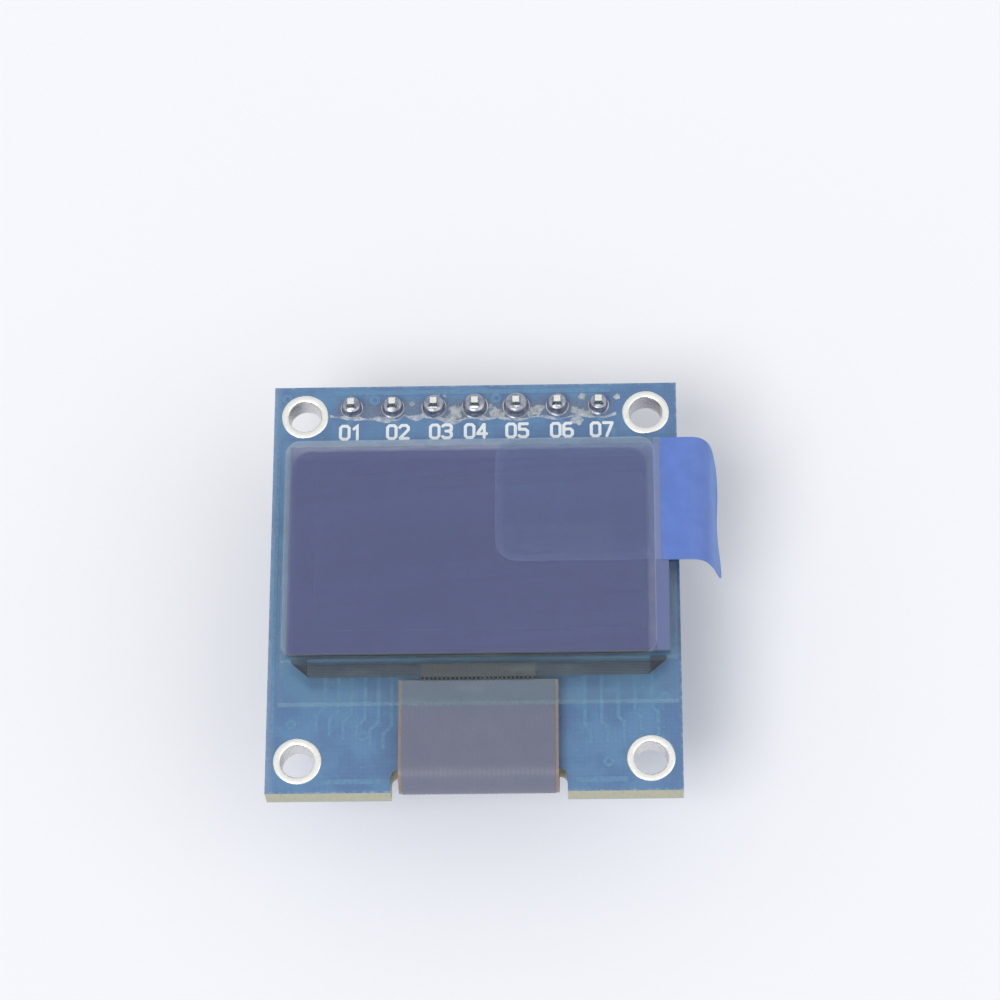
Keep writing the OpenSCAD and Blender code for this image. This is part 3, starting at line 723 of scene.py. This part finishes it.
DOME_FOOT = (0.64, 0.66, 0.72, 0.76, 0.79, 0.66, 0.60)
DOME_TALL = (0.60, 0.58, 0.66, 0.68, 0.70, 0.68, 0.62)
for i, x in enumerate(PINS):
    foot, tall = DOME_FOOT[i], DOME_TALL[i]
    spread = waves(50 + i, 4, 0.02)
    neck = 0.37
    dome = [(neck + (foot - neck) * math.cos(a) ** 0.8, tall * math.sin(a) ** 0.9)
            for a in [math.radians(d) for d in (0, 6, 14, 24, 35, 47, 60, 74, 89)]]
    profile = [(0.5, BACK)] + [(0.5, 0.0)] + dome + [(0.3, tall * 0.985), (0.3, BACK)]

    def wobble(turn, r, z, spread=spread, tall=tall):
        return (spread(turn) * (1 - z / tall) if z > 0 and r > 0.4 else 0.0), 0.0
    dome_shape = Shape()
    dome_shape.lathe((x, PIN_Y), profile, 64, wobble=wobble)
    dome_shape.piece(f"solder_dome_{i + 1}", [DULL_SHADED_DOME_TIN], [f"solder_joint_{i + 1}"], smooth=50)

pads = Shape()
for i, x in enumerate(PINS):
    ring_plate(pads, x, PIN_Y, 0.5, DOME_FOOT[i] + 0.04, 0.0, 0.03)
for low, high in PARTS:
    wide = high[0] - low[0] > high[1] - low[1]
    x, y = (low[0] + high[0]) / 2, (low[1] + high[1]) / 2
    for side in (-1, 1):
        if wide:
            cx = x + side * 0.75
            pads.slab(rectangle(cx - 0.42, y - 0.5, cx + 0.42, y + 0.5, 0.08), BACK, BACK - 0.03)
        else:
            cy = y + side * 0.75
            pads.slab(rectangle(x - 0.5, cy - 0.42, x + 0.5, cy + 0.42, 0.08), BACK, BACK - 0.03)
REG_LOW, REG_HIGH = box_mm("regulator_body")
REG_X, REG_Y = (REG_LOW[0] + REG_HIGH[0]) / 2, (REG_LOW[1] + REG_HIGH[1]) / 2
for x, side in ((REG_X - 0.95, 1), (REG_X + 0.95, 1), (REG_X, -1)):
    y = REG_Y + side * 1.15
    pads.slab(rectangle(x - 0.32, y - 0.42, x + 0.32, y + 0.42, 0.06), BACK, BACK - 0.03)
pads.piece("tinned_pads", [PAD_TIN])

# ---------------------------------------------------------------- tracks under the mask

tracks = Shape()
TRACK_TOP = 0.018


def track(points, width, low=0.0, high=TRACK_TOP):
    # each track a little higher than the last one, so that crossing tops never share a plane
    rise = math.copysign(0.0004 * (len(tracks.faces) % 11), high - low)
    tracks.band(points, width, low, high + rise, 0.008)


for x, shift in zip(PINS, (-0.7, 0.4, -0.3, 0.5, -0.5, 0.3, 0.9)):
    track([(x, PIN_Y), (x, 10.9), (x + shift, 10.9 - abs(shift)), (x + shift, 7.4)], 0.32)
track([(-12.05, 12.6), (-12.05, -9.6)], 0.22)
track([(-8.6, 12.75), (8.2, 12.75)], 0.3)
for k in range(6):
    x = -8.9 + 0.8 * k
    track([(x, -5.6), (x, -7.8 - 0.25 * k), (x - 0.5, -8.3 - 0.25 * k), (x - 0.5, -9.3 - 0.22 * k)], 0.24)
for k in range(5):
    x = 6.6 + 1.0 * k
    track([(x, -5.6), (x, -9.2 + 0.3 * k), (x + 0.35, -9.55 + 0.3 * k), (x + 0.35, -10.2)], 0.24)
track([(-9.0, -12.5), (-5.6, -12.5)], 0.35)
track([(6.2, -12.5), (9.0, -12.5)], 0.35)
for x, y in ((-6.2, 12.25), (1.3, 12.3), (-10.9, -8.9), (-6.6, -9.7), (8.0, -11.4), (11.4, -7.4), (-11.6, 12.4)):
    ring_plate(tracks, x, y, 0.14, 0.34, 0.0, 0.024, 28)
for low, high in PARTS:
    x, y = (low[0] + high[0]) / 2, (low[1] + high[1]) / 2
    wide = high[0] - low[0] > high[1] - low[1]
    for side in (-1, 1):
        a = (x + side * 0.8, y) if wide else (x, y + side * 0.8)
        b = (a[0] + side * 0.9, a[1]) if wide else (a[0], a[1] + side * 0.75)
        track([a, b], 0.3, BACK, BACK - TRACK_TOP)
for k, x in enumerate(PINS):
    drop = 0.5 * (k % 3)
    track([(x, 10.3), (x + 0.4, 9.9), (x + 0.4, 9.5)], 0.3, BACK, BACK - TRACK_TOP)
for k in range(8):
    y = -0.6 - 0.55 * k
    x = -9.6 + 1.1 * k
    track([(x, -6.2), (x, y), (x + 0.6, y + 0.6), (x + 3.2 + 0.3 * k, y + 0.6)], 0.2, BACK, BACK - TRACK_TOP)
for x, y in ((-10.6, 3.6), (-6.9, 4.4), (-3.1, 4.6), (0.9, 3.4), (4.4, 3.2), (8.6, 2.4), (10.9, 4.6), (9.6, -2.2), (5.4, -3.4), (-11.2, -2.8), (-10.8, 9.6), (11.3, 9.7)):
    ring_plate(tracks, x, y, 0.15, 0.36, BACK - 0.04, BACK, 28)
tracks.piece("copper_tracks", [TRACK])

# ---------------------------------------------------------------- printed numerals and outlines

DIGITS = {
    "0": [[(0, 0.15), (0, 0.85), (0.14, 1), (0.46, 1), (0.6, 0.85), (0.6, 0.15), (0.46, 0), (0.14, 0), (0, 0.15)]],
    "1": [[(0.08, 0.78), (0.32, 1), (0.32, 0)]],
    "2": [[(0, 0.85), (0.14, 1), (0.46, 1), (0.6, 0.86), (0.6, 0.66), (0.04, 0.04)], [(0.04, 0), (0.6, 0)]],
    "3": [[(0, 0.9), (0.12, 1), (0.46, 1), (0.6, 0.88), (0.6, 0.64), (0.44, 0.52), (0.22, 0.52)],
          [(0.44, 0.52), (0.6, 0.38), (0.6, 0.13), (0.46, 0), (0.12, 0), (0, 0.1)]],
    "4": [[(0.46, 0), (0.46, 1)], [(0.42, 0.98), (0.0, 0.32)], [(0.0, 0.28), (0.62, 0.28)]],
    "5": [[(0.58, 1), (0.04, 1)], [(0.03, 0.98), (0.02, 0.58)], [(0.04, 0.58), (0.44, 0.58), (0.6, 0.44), (0.6, 0.14), (0.46, 0), (0.12, 0), (0, 0.1)]],
    "6": [[(0, 0.14), (0, 0.42), (0.14, 0.56), (0.46, 0.56), (0.6, 0.42), (0.6, 0.14), (0.46, 0), (0.14, 0), (0, 0.14)],
          [(0, 0.4), (0, 0.84), (0.14, 1), (0.5, 1)]],
    "7": [[(0, 1), (0.6, 1)], [(0.6, 0.98), (0.22, 0)]],
}


def numeral(shape, text, x, y, tall, width, low, high, mirror=1):
    """Plain numerals centred on x, standing on y."""
    advance = 0.86 * tall
    start = -(len(text) - 1) / 2 * advance - 0.3 * tall
    for k, mark in enumerate(text):
        for n, line in enumerate(DIGITS[mark]):
            points = [(x + mirror * (start + k * advance + px * tall), y + py * tall) for px, py in line]
            closed = points[0] == points[-1]
            shape.band(points[:-1] if closed else points, width, low, high + math.copysign(0.003 * n, high - low), 0.005, closed=closed)


print_front = Shape()
LABEL_X = (-7.65, -4.75, -2.1, 0.05, 2.6, 5.35, 7.8)
for k, x in enumerate(LABEL_X):
    numeral(print_front, f"0{k + 1}", x, 9.66, 0.88, 0.19, 0.0, 0.034)
print_front.piece("pin_numbers", [INK])

print_back = Shape()
INK_BACK = BACK - 0.02


def frame_line(x0, y0, x1, y1, width=0.15):
    print_back.band([(x0, y0), (x1, y0), (x1, y1), (x0, y1)], width, BACK, INK_BACK, 0.005, closed=True)


for low, high in PARTS:
    wide = high[0] - low[0] > high[1] - low[1]
    gap_x, gap_y = (0.62, 0.28) if wide else (0.28, 0.62)
    frame_line(low[0] - gap_x, low[1] - gap_y, high[0] + gap_x, high[1] + gap_y, 0.12)
frame_line(REG_X - 1.75, REG_Y - 1.75, REG_X + 1.75, REG_Y + 1.75)
for mark, x in (("1", PINS[0] - 0.3), ("7", PINS[6] + 0.3)):
    numeral(print_back, mark, x, 9.4, 0.7, 0.13, BACK, INK_BACK, -1)
print_back.piece("back_outlines", [INK])

# ---------------------------------------------------------------- flux residue

BORDER = ((-8.95, 11.20), (-8.35, 11.12), (-7.68, 11.05), (-7.02, 10.99), (-6.4, 10.97), (-6.11, 10.98), (-5.53, 10.88),
          (-4.78, 10.88), (-4.55, 11.02), (-4.38, 11.26), (-4.2, 11.12), (-4.04, 11.04), (-3.63, 10.98), (-3.36, 11.04),
          (-3.18, 11.20), (-2.96, 11.06), (-2.64, 10.99), (-2.14, 10.93), (-1.89, 10.82), (-1.48, 10.66), (-1.06, 10.72),
          (-0.57, 10.95), (-0.1, 11.0), (0.4, 10.95), (0.9, 10.88), (1.4, 11.0), (1.9, 10.92), (2.5, 10.8), (3.1, 10.86),
          (3.8, 11.05), (4.4, 10.98), (5.1, 10.8), (5.7, 10.95), (6.4, 11.1), (7.2, 10.95), (8.0, 10.9), (8.7, 11.15))


def border_y(x):
    for (ax, ay), (bx, by) in zip(BORDER, BORDER[1:]):
        if ax <= x <= bx:
            t = (x - ax) / (bx - ax)
            return ay + (by - ay) * t
    return BORDER[0][1] if x < BORDER[0][0] else BORDER[-1][1]


residue = Shape()
rng = random.Random(7)
steps = 150
bottom, crest, outer_line, film_line = [], [], [], []
for k in range(steps + 1):
    x = BORDER[0][0] + (BORDER[-1][0] - BORDER[0][0]) * k / steps
    y = border_y(x)
    strong = 1.0 if x < 0.6 else 0.55
    w = (0.13 + 0.07 * math.sin(3.1 * x) + rng.uniform(-0.02, 0.03)) * strong
    outer_line.append((x, y - w * 0.7, 0.004))
    crest.append((x, y, 0.05 * strong + rng.uniform(0, 0.012)))
    film_line.append((x, y + w * 1.2, 0.012))
# closed ridge: outer foot, crest, inner foot, and its underside
ridge = [[outer_line[k], crest[k], film_line[k], (film_line[k][0], film_line[k][1], 0.001), (outer_line[k][0], outer_line[k][1], 0.001)]
         for k in range(steps + 1)]
residue.rings(ridge, 0)
sheet_rings = []
for k in range(steps + 1):
    x, y, _ = film_line[k]
    top = 12.72 + 0.12 * math.sin(2.1 * x) + 0.06 * math.sin(5.3 * x)
    sheet_rings.append([(x, y, 0.012), (x, (y + top) / 2, 0.014), (x, top, 0.006), (x, top, 0.002), (x, y, 0.002)])
residue.rings(sheet_rings, 1)
LUMPS = ((-1.22, 11.28, 0.42, 0.10), (-1.35, 11.62, 0.26, 0.07), (-0.95, 11.6, 0.22, 0.05), (-1.6, 11.0, 0.22, 0.05),
         (1.25, 11.35, 0.36, 0.05), (1.65, 11.12, 0.26, 0.04), (0.95, 11.75, 0.16, 0.03), (3.75, 11.45, 0.34, 0.045),
         (4.05, 11.62, 0.24, 0.04), (3.4, 11.2, 0.2, 0.03), (6.15, 11.42, 0.26, 0.045), (6.6, 11.3, 0.26, 0.05),
         (7.0, 11.16, 0.24, 0.04), (6.3, 10.75, 0.34, 0.025), (8.75, 12.3, 0.2, 0.03), (6.6, 12.35, 0.22, 0.03),
         (-3.9, 12.0, 0.16, 0.03), (-3.1, 11.5, 0.14, 0.03), (-2.35, 12.6, 0.13, 0.02), (-1.9, 12.5, 0.12, 0.02))
for k, (x, y, r, tall) in enumerate(LUMPS):
    blot = disc(x, y, r, 28, 0.28, k)
    rings = [[(px, py, z) for px, py in blot(inset)] for inset, z in
             ((0, 0.002), (0.02, tall * 0.45), (r * 0.3, tall * 0.85), (r * 0.62, tall))]
    residue.rings(rings, 2)
residue.piece("flux_residue", [FLUX_RIM, FLUX_FILM, FLUX_LUMP], smooth=60)

# ---------------------------------------------------------------- lines on the glass ledge

fan = Shape()
UNDER = GLASS_LOW[2]
for k in range(9):
    y = CHIP_HIGH[1] - 0.02 - 0.095 * k
    for side, x0, end in ((-1, CHIP_LOW[0] - 0.06, GLASS_LOW[0] + 0.75 + 0.11 * k), (1, CHIP_HIGH[0] + 0.06, GLASS_HIGH[0] - 0.75 - 0.11 * k)):
        fan.band([(x0, y), (end + side * -0.15, y), (end, y + 0.15), (end, LEDGE_TOP - 0.02)], 0.07, UNDER, UNDER - 0.008)
for k in range(26):
    x = CHIP_LOW[0] + 0.2 + (CHIP_HIGH[0] - CHIP_LOW[0] - 0.4) * k / 25
    fan.band([(x, CHIP_LOW[1] - 0.02), (x, CHIP_LOW[1] - 0.2)], 0.1, UNDER, UNDER - 0.008)


def line_metal():
    s = Shader("ledge_lines", Metallic=0.8, Roughness=0.35)
    s.set(Base_Color=s.mix(s.noise(6.0, 3.0), (0.05, 0.055, 0.07), (0.10, 0.11, 0.13)))
    return s


fan.piece("ledge_lines", [line_metal()])

# ---------------------------------------------------------------- flex cable

FOLD_Y = -11.8
FOLD_R = (FLEX_HIGH[2] - FLEX_LOW[2]) / 2
FOLD_Z = (FLEX_HIGH[2] + FLEX_LOW[2]) / 2
FLEX_T = 0.1
NECK = 4.75
TEE_HALF = (FLEX_HIGH[0] - FLEX_LOW[0]) / 2
TEE_LOW, TEE_TOP = -9.4, -6.4
UP_START = -6.55
RUN_1 = UP_START - FOLD_Y
ARC = math.pi * (FOLD_R - FLEX_T / 2)
RUN_2 = TEE_TOP - FOLD_Y
FLEX_LEN = RUN_1 + ARC + RUN_2


def flex_place(s, x, t):
    """Point at arc length s, across x, t above the inner face of the flex."""
    if s <= RUN_1:
        return (x, UP_START - s, FLEX_HIGH[2] - FLEX_T + t)
    if s <= RUN_1 + ARC:
        a = (s - RUN_1) / ARC * math.pi
        r = FOLD_R - FLEX_T + t
        return (x, FOLD_Y - r * math.sin(a), FOLD_Z + r * math.cos(a))
    return (x, FOLD_Y + (s - RUN_1 - ARC), FLEX_LOW[2] + FLEX_T - t)


def half_width(s, inset=0.0):
    """Half of the flex's width at arc length s."""
    y = FOLD_Y + (s - RUN_1 - ARC)
    if s < RUN_1 + ARC or y < TEE_LOW + inset:
        return NECK - inset
    r = 0.6 - inset
    half = TEE_HALF - inset
    d = min(y - (TEE_LOW + inset), TEE_TOP - inset - y)
    return half - (r - math.sqrt(max(r * r - (r - d) ** 2, 0.0)) if 0 <= d < r else 0.0)


def flex_stations(start, end, inset=0.0):
    marks = {start, end, RUN_1, RUN_1 + ARC}
    marks |= {RUN_1 + ARC * k / 24 for k in range(25)}
    marks |= {start + (end - start) * k / 30 for k in range(31)}
    shoulder = RUN_1 + ARC + (TEE_LOW + inset - FOLD_Y)
    tail = RUN_1 + ARC + (TEE_TOP - inset - FOLD_Y)
    for k in range(9):
        d = (0.6 - inset) * (1 - math.cos(math.pi / 2 * k / 8))
        marks |= {shoulder + d, tail - d}
    marks.add(shoulder - 1e-3)
    return sorted(m for m in marks if start <= m <= end)


def flex_layer(shape, start, end, t0, t1, inset=0.0, slot=0, columns=24):
    stations = flex_stations(start, end, inset)
    rings = []
    for s in stations:
        half = half_width(s, inset)
        xs = [GLASS_MID - half + 2 * half * j / columns for j in range(columns + 1)]
        rings.append([flex_place(s, x, t0) for x in xs] + [flex_place(s, x, t1) for x in reversed(xs)])
    shape.rings(rings, slot)


flex = Shape()
flex_layer(flex, 0.0, FLEX_LEN, 0.0, 0.055)
flex.piece("flex_film", [FLEX_BASE], ["flex_cable"], smooth=50)
cover = Shape()
flex_layer(cover, 0.06, FLEX_LEN - 1.25, 0.056, 0.088, 0.20)
cover.piece("flex_cover_layer", [FLEX_COVER], smooth=50)
ribs = Shape()
for k in range(30):
    x = GLASS_MID + (k - 14.5) * 0.285
    stations = flex_stations(1.3, RUN_1 + ARC + 1.9)
    ribs.rings([[flex_place(s, x - 0.07, 0.086), flex_place(s, x - 0.045, 0.096), flex_place(s, x + 0.045, 0.096), flex_place(s, x + 0.07, 0.086)]
                for s in stations])
ribs.piece("flex_ribs", [FLEX_COVER], smooth=60)
fingers = Shape()
for k in range(30):
    x = GLASS_MID + (k - 14.5) * 0.62
    s0, s1 = FLEX_LEN - 1.2, FLEX_LEN - 0.02
    fingers.rings([[flex_place(s, x - 0.19, 0.055), flex_place(s, x - 0.17, 0.085), flex_place(s, x + 0.17, 0.085), flex_place(s, x + 0.19, 0.055)]
                   for s in (s0, (s0 + s1) / 2, s1)])
fingers.piece("flex_fingers", [LEAD_TIN])

# ---------------------------------------------------------------- pull tab

FLAT_END = GRIP_LOW[0] + 1.8
BEND_R, BEND = 1.05, math.radians(62)
SWEEP_R, SWEEP = 6.0, math.radians(14)
TAPE_Z = TAPE_HIGH[2] - 0.05
GRIP_LEN = 5.4
SKEW = 0.6
WAVE = 0.14
CLEAR_R, UPPER_R, LOWER_R = 1.3, 2.1, 0.3
TAPE_LEN = 10.0 + GRIP_LEN
TAPE_Y0, TAPE_Y1 = TAPE_LOW[1], TAPE_HIGH[1]


def tab_place(s, y, lift, across):
    """Point at arc length s from the clear end, lift above the tape's underside; across is 0 at the
    lower side, which runs on further, and 1 at the upper side."""
    free = max(s - (FLAT_END - TAPE_LOW[0]), 0.0) / (TAPE_LOW[0] + TAPE_LEN - FLAT_END)
    s += SKEW * free * (1 - across)
    x, z, a = TAPE_LOW[0] + s, TAPE_Z, 0.0
    over = s - (FLAT_END - TAPE_LOW[0])
    if over > 0:
        a = min(over / BEND_R, BEND)
        x, z = FLAT_END + BEND_R * math.sin(a), TAPE_Z - BEND_R * (1 - math.cos(a))
        over -= BEND_R * BEND
    if over > 0:
        b = min(over / SWEEP_R, SWEEP)
        x += SWEEP_R * (math.sin(BEND + b) - math.sin(BEND))
        z -= SWEEP_R * (math.cos(BEND) - math.cos(BEND + b))
        a = BEND + b
        over -= SWEEP_R * SWEEP
        if over > 0:
            x += over * math.cos(a)
            z -= over * math.sin(a)
    lift -= WAVE * free * free * math.sin(math.pi * across) ** 2
    return (x + lift * math.sin(a), y, z + lift * math.cos(a))


def drawn_in(d, r):
    return 0.0 if d >= r else r - math.sqrt(max(r * r - (r - d) ** 2, 0.0))


def tab_layer(shape, start, t0, t1, columns=20):
    marks = {start + (TAPE_LEN - start) * k / 110 for k in range(111)}
    for k in range(10):
        turn = 1 - math.cos(math.pi / 2 * k / 9)
        marks |= {TAPE_LEN - UPPER_R * turn, TAPE_LEN - LOWER_R * turn}
        if start == 0:
            marks.add(CLEAR_R * turn)
    rings = []
    for s in sorted(m for m in marks if start <= m <= TAPE_LEN):
        high = TAPE_Y1 - max(drawn_in(s, CLEAR_R), drawn_in(TAPE_LEN - s, UPPER_R))
        low = TAPE_Y0 + max(drawn_in(s, CLEAR_R), drawn_in(TAPE_LEN - s, LOWER_R))
        row = [(low + (high - low) * j / columns, j / columns) for j in range(columns + 1)]
        rings.append([tab_place(s, y, t0, v) for y, v in row] + [tab_place(s, y, t1, v) for y, v in reversed(row)])
    shape.rings(rings)


tape = Shape()
tab_layer(tape, 0.0, 0.0, 0.05)
tape.piece("tape_sheet", [TAPE], ["tab_tape"], smooth=50)
grip = Shape()
tab_layer(grip, 10.0, -0.05, -0.001)
grip.piece("grip_sheet", [GRIP], ["tab_grip"], smooth=50)

# ---------------------------------------------------------------- floor, light and camera


def stage():
    floor_z = CAD_LOW[2] - 0.00002
    mesh = bpy.data.meshes.new("floor")
    reach = 6.0
    mesh.from_pydata([(-reach, -reach, floor_z), (reach, -reach, floor_z), (reach, reach, floor_z), (-reach, reach, floor_z)], [], [(0, 1, 2, 3)])
    floor = bpy.data.objects.new("floor", mesh)
    bpy.context.scene.collection.objects.link(floor)
    s = Shader("pale_floor", Roughness=0.8, Specular_IOR_Level=0.1)
    s.set(Base_Color=s.mix(s.noise(0.02, 2.0), (0.925, 0.93, 0.965), (0.94, 0.945, 0.975)))
    mesh.materials.append(s.material)
    floor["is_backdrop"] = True
    world = bpy.data.worlds.new("studio")
    world.use_nodes = True
    tree = world.node_tree
    tree.nodes.clear()
    out = tree.nodes.new("ShaderNodeOutputWorld")
    soft = tree.nodes.new("ShaderNodeBackground")
    soft.inputs["Color"].default_value = (0.95, 0.97, 1.0, 1)
    soft.inputs["Strength"].default_value = 0.60
    shown = tree.nodes.new("ShaderNodeBackground")
    shown.inputs["Strength"].default_value = 1.0
    path = tree.nodes.new("ShaderNodeLightPath")
    where = tree.nodes.new("ShaderNodeTexCoord")
    split = tree.nodes.new("ShaderNodeSeparateXYZ")
    ramp = tree.nodes.new("ShaderNodeValToRGB")
    ramp.color_ramp.interpolation = "EASE"
    stops = ((0.0, 0.90), (0.30, 0.80), (0.62, 0.72), (0.92, 0.88))
    ramp.color_ramp.elements[0].position = stops[0][0]
    ramp.color_ramp.elements[1].position = stops[-1][0]
    for place, _ in stops[1:-1]:
        ramp.color_ramp.elements.new(place)
    for element, (_, level) in zip(ramp.color_ramp.elements, stops):
        element.color = (level * 0.97, level * 0.985, level, 1)
    pale = tree.nodes.new("ShaderNodeMix")
    pale.data_type = "RGBA"
    seen = tree.nodes.new("ShaderNodeMath")
    seen.operation = "MAXIMUM"
    seen_2 = tree.nodes.new("ShaderNodeMath")
    seen_2.operation = "MAXIMUM"
    mixer = tree.nodes.new("ShaderNodeMixShader")
    link = tree.links.new
    link(where.outputs["Generated"], split.inputs[0])
    link(split.outputs["Z"], ramp.inputs["Fac"])
    link(path.outputs["Is Camera Ray"], seen.inputs[0])
    link(path.outputs["Is Glossy Ray"], seen.inputs[1])
    link(seen.outputs[0], seen_2.inputs[0])
    link(path.outputs["Is Transmission Ray"], seen_2.inputs[1])
    link(path.outputs["Is Camera Ray"], pale.inputs[0])
    link(ramp.outputs["Color"], pale.inputs[6])
    pale.inputs[7].default_value = (0.93, 0.94, 0.985, 1)
    link(pale.outputs[2], shown.inputs["Color"])
    link(seen_2.outputs[0], mixer.inputs[0])
    link(soft.outputs[0], mixer.inputs[1])
    link(shown.outputs[0], mixer.inputs[2])
    link(mixer.outputs[0], out.inputs["Surface"])
    bpy.context.scene.world = world
    for name, strength, angle, azimuth, elevation, colour in (
        ("key", 1.25, 28, -35, 58, (1.0, 0.99, 0.97)),
        ("fill", 0.40, 50, 70, 45, (0.95, 0.97, 1.0)),
    ):
        lamp = bpy.data.lights.new(name, "SUN")
        lamp.energy = strength
        lamp.angle = math.radians(angle)
        lamp.color = colour
        obj = bpy.data.objects.new(name, lamp)
        a, e = math.radians(azimuth), math.radians(elevation)
        towards = Vector((math.sin(a) * math.cos(e), -math.cos(a) * math.cos(e), math.sin(e)))
        obj.rotation_mode = "QUATERNION"
        obj.rotation_quaternion = towards.to_track_quat("Z", "Y")
        bpy.context.scene.collection.objects.link(obj)


def camera():
    """The photograph's viewing angle: distance, elevation, azimuth and roll about the aimed point."""
    distance, elevation, azimuth, roll = 219.76, math.radians(67.0), math.radians(4.665), math.radians(-5.044)
    aim = Vector((1.542, 5.475, 0.0))
    back = Vector((math.sin(azimuth) * math.cos(elevation), -math.cos(azimuth) * math.cos(elevation), math.sin(elevation)))
    right = Vector((math.cos(azimuth), math.sin(azimuth), 0.0))
    up = right.cross(-back)
    side = math.cos(roll) * right + math.sin(roll) * up
    top = -math.sin(roll) * right + math.cos(roll) * up
    data = bpy.data.cameras.new("camera")
    data.sensor_width = 36.0
    data.lens = 129.6
    data.clip_start, data.clip_end = 0.001, 100.0
    obj = bpy.data.objects.new("camera", data)
    turn = Matrix((side, top, back)).transposed().to_4x4()
    obj.matrix_world = Matrix.Translation((aim + back * distance) * MM) @ turn
    bpy.context.scene.collection.objects.link(obj)
    bpy.context.scene.camera = obj


stage()
camera()
bpy.context.scene.view_settings.view_transform = "Standard"

low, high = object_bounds()
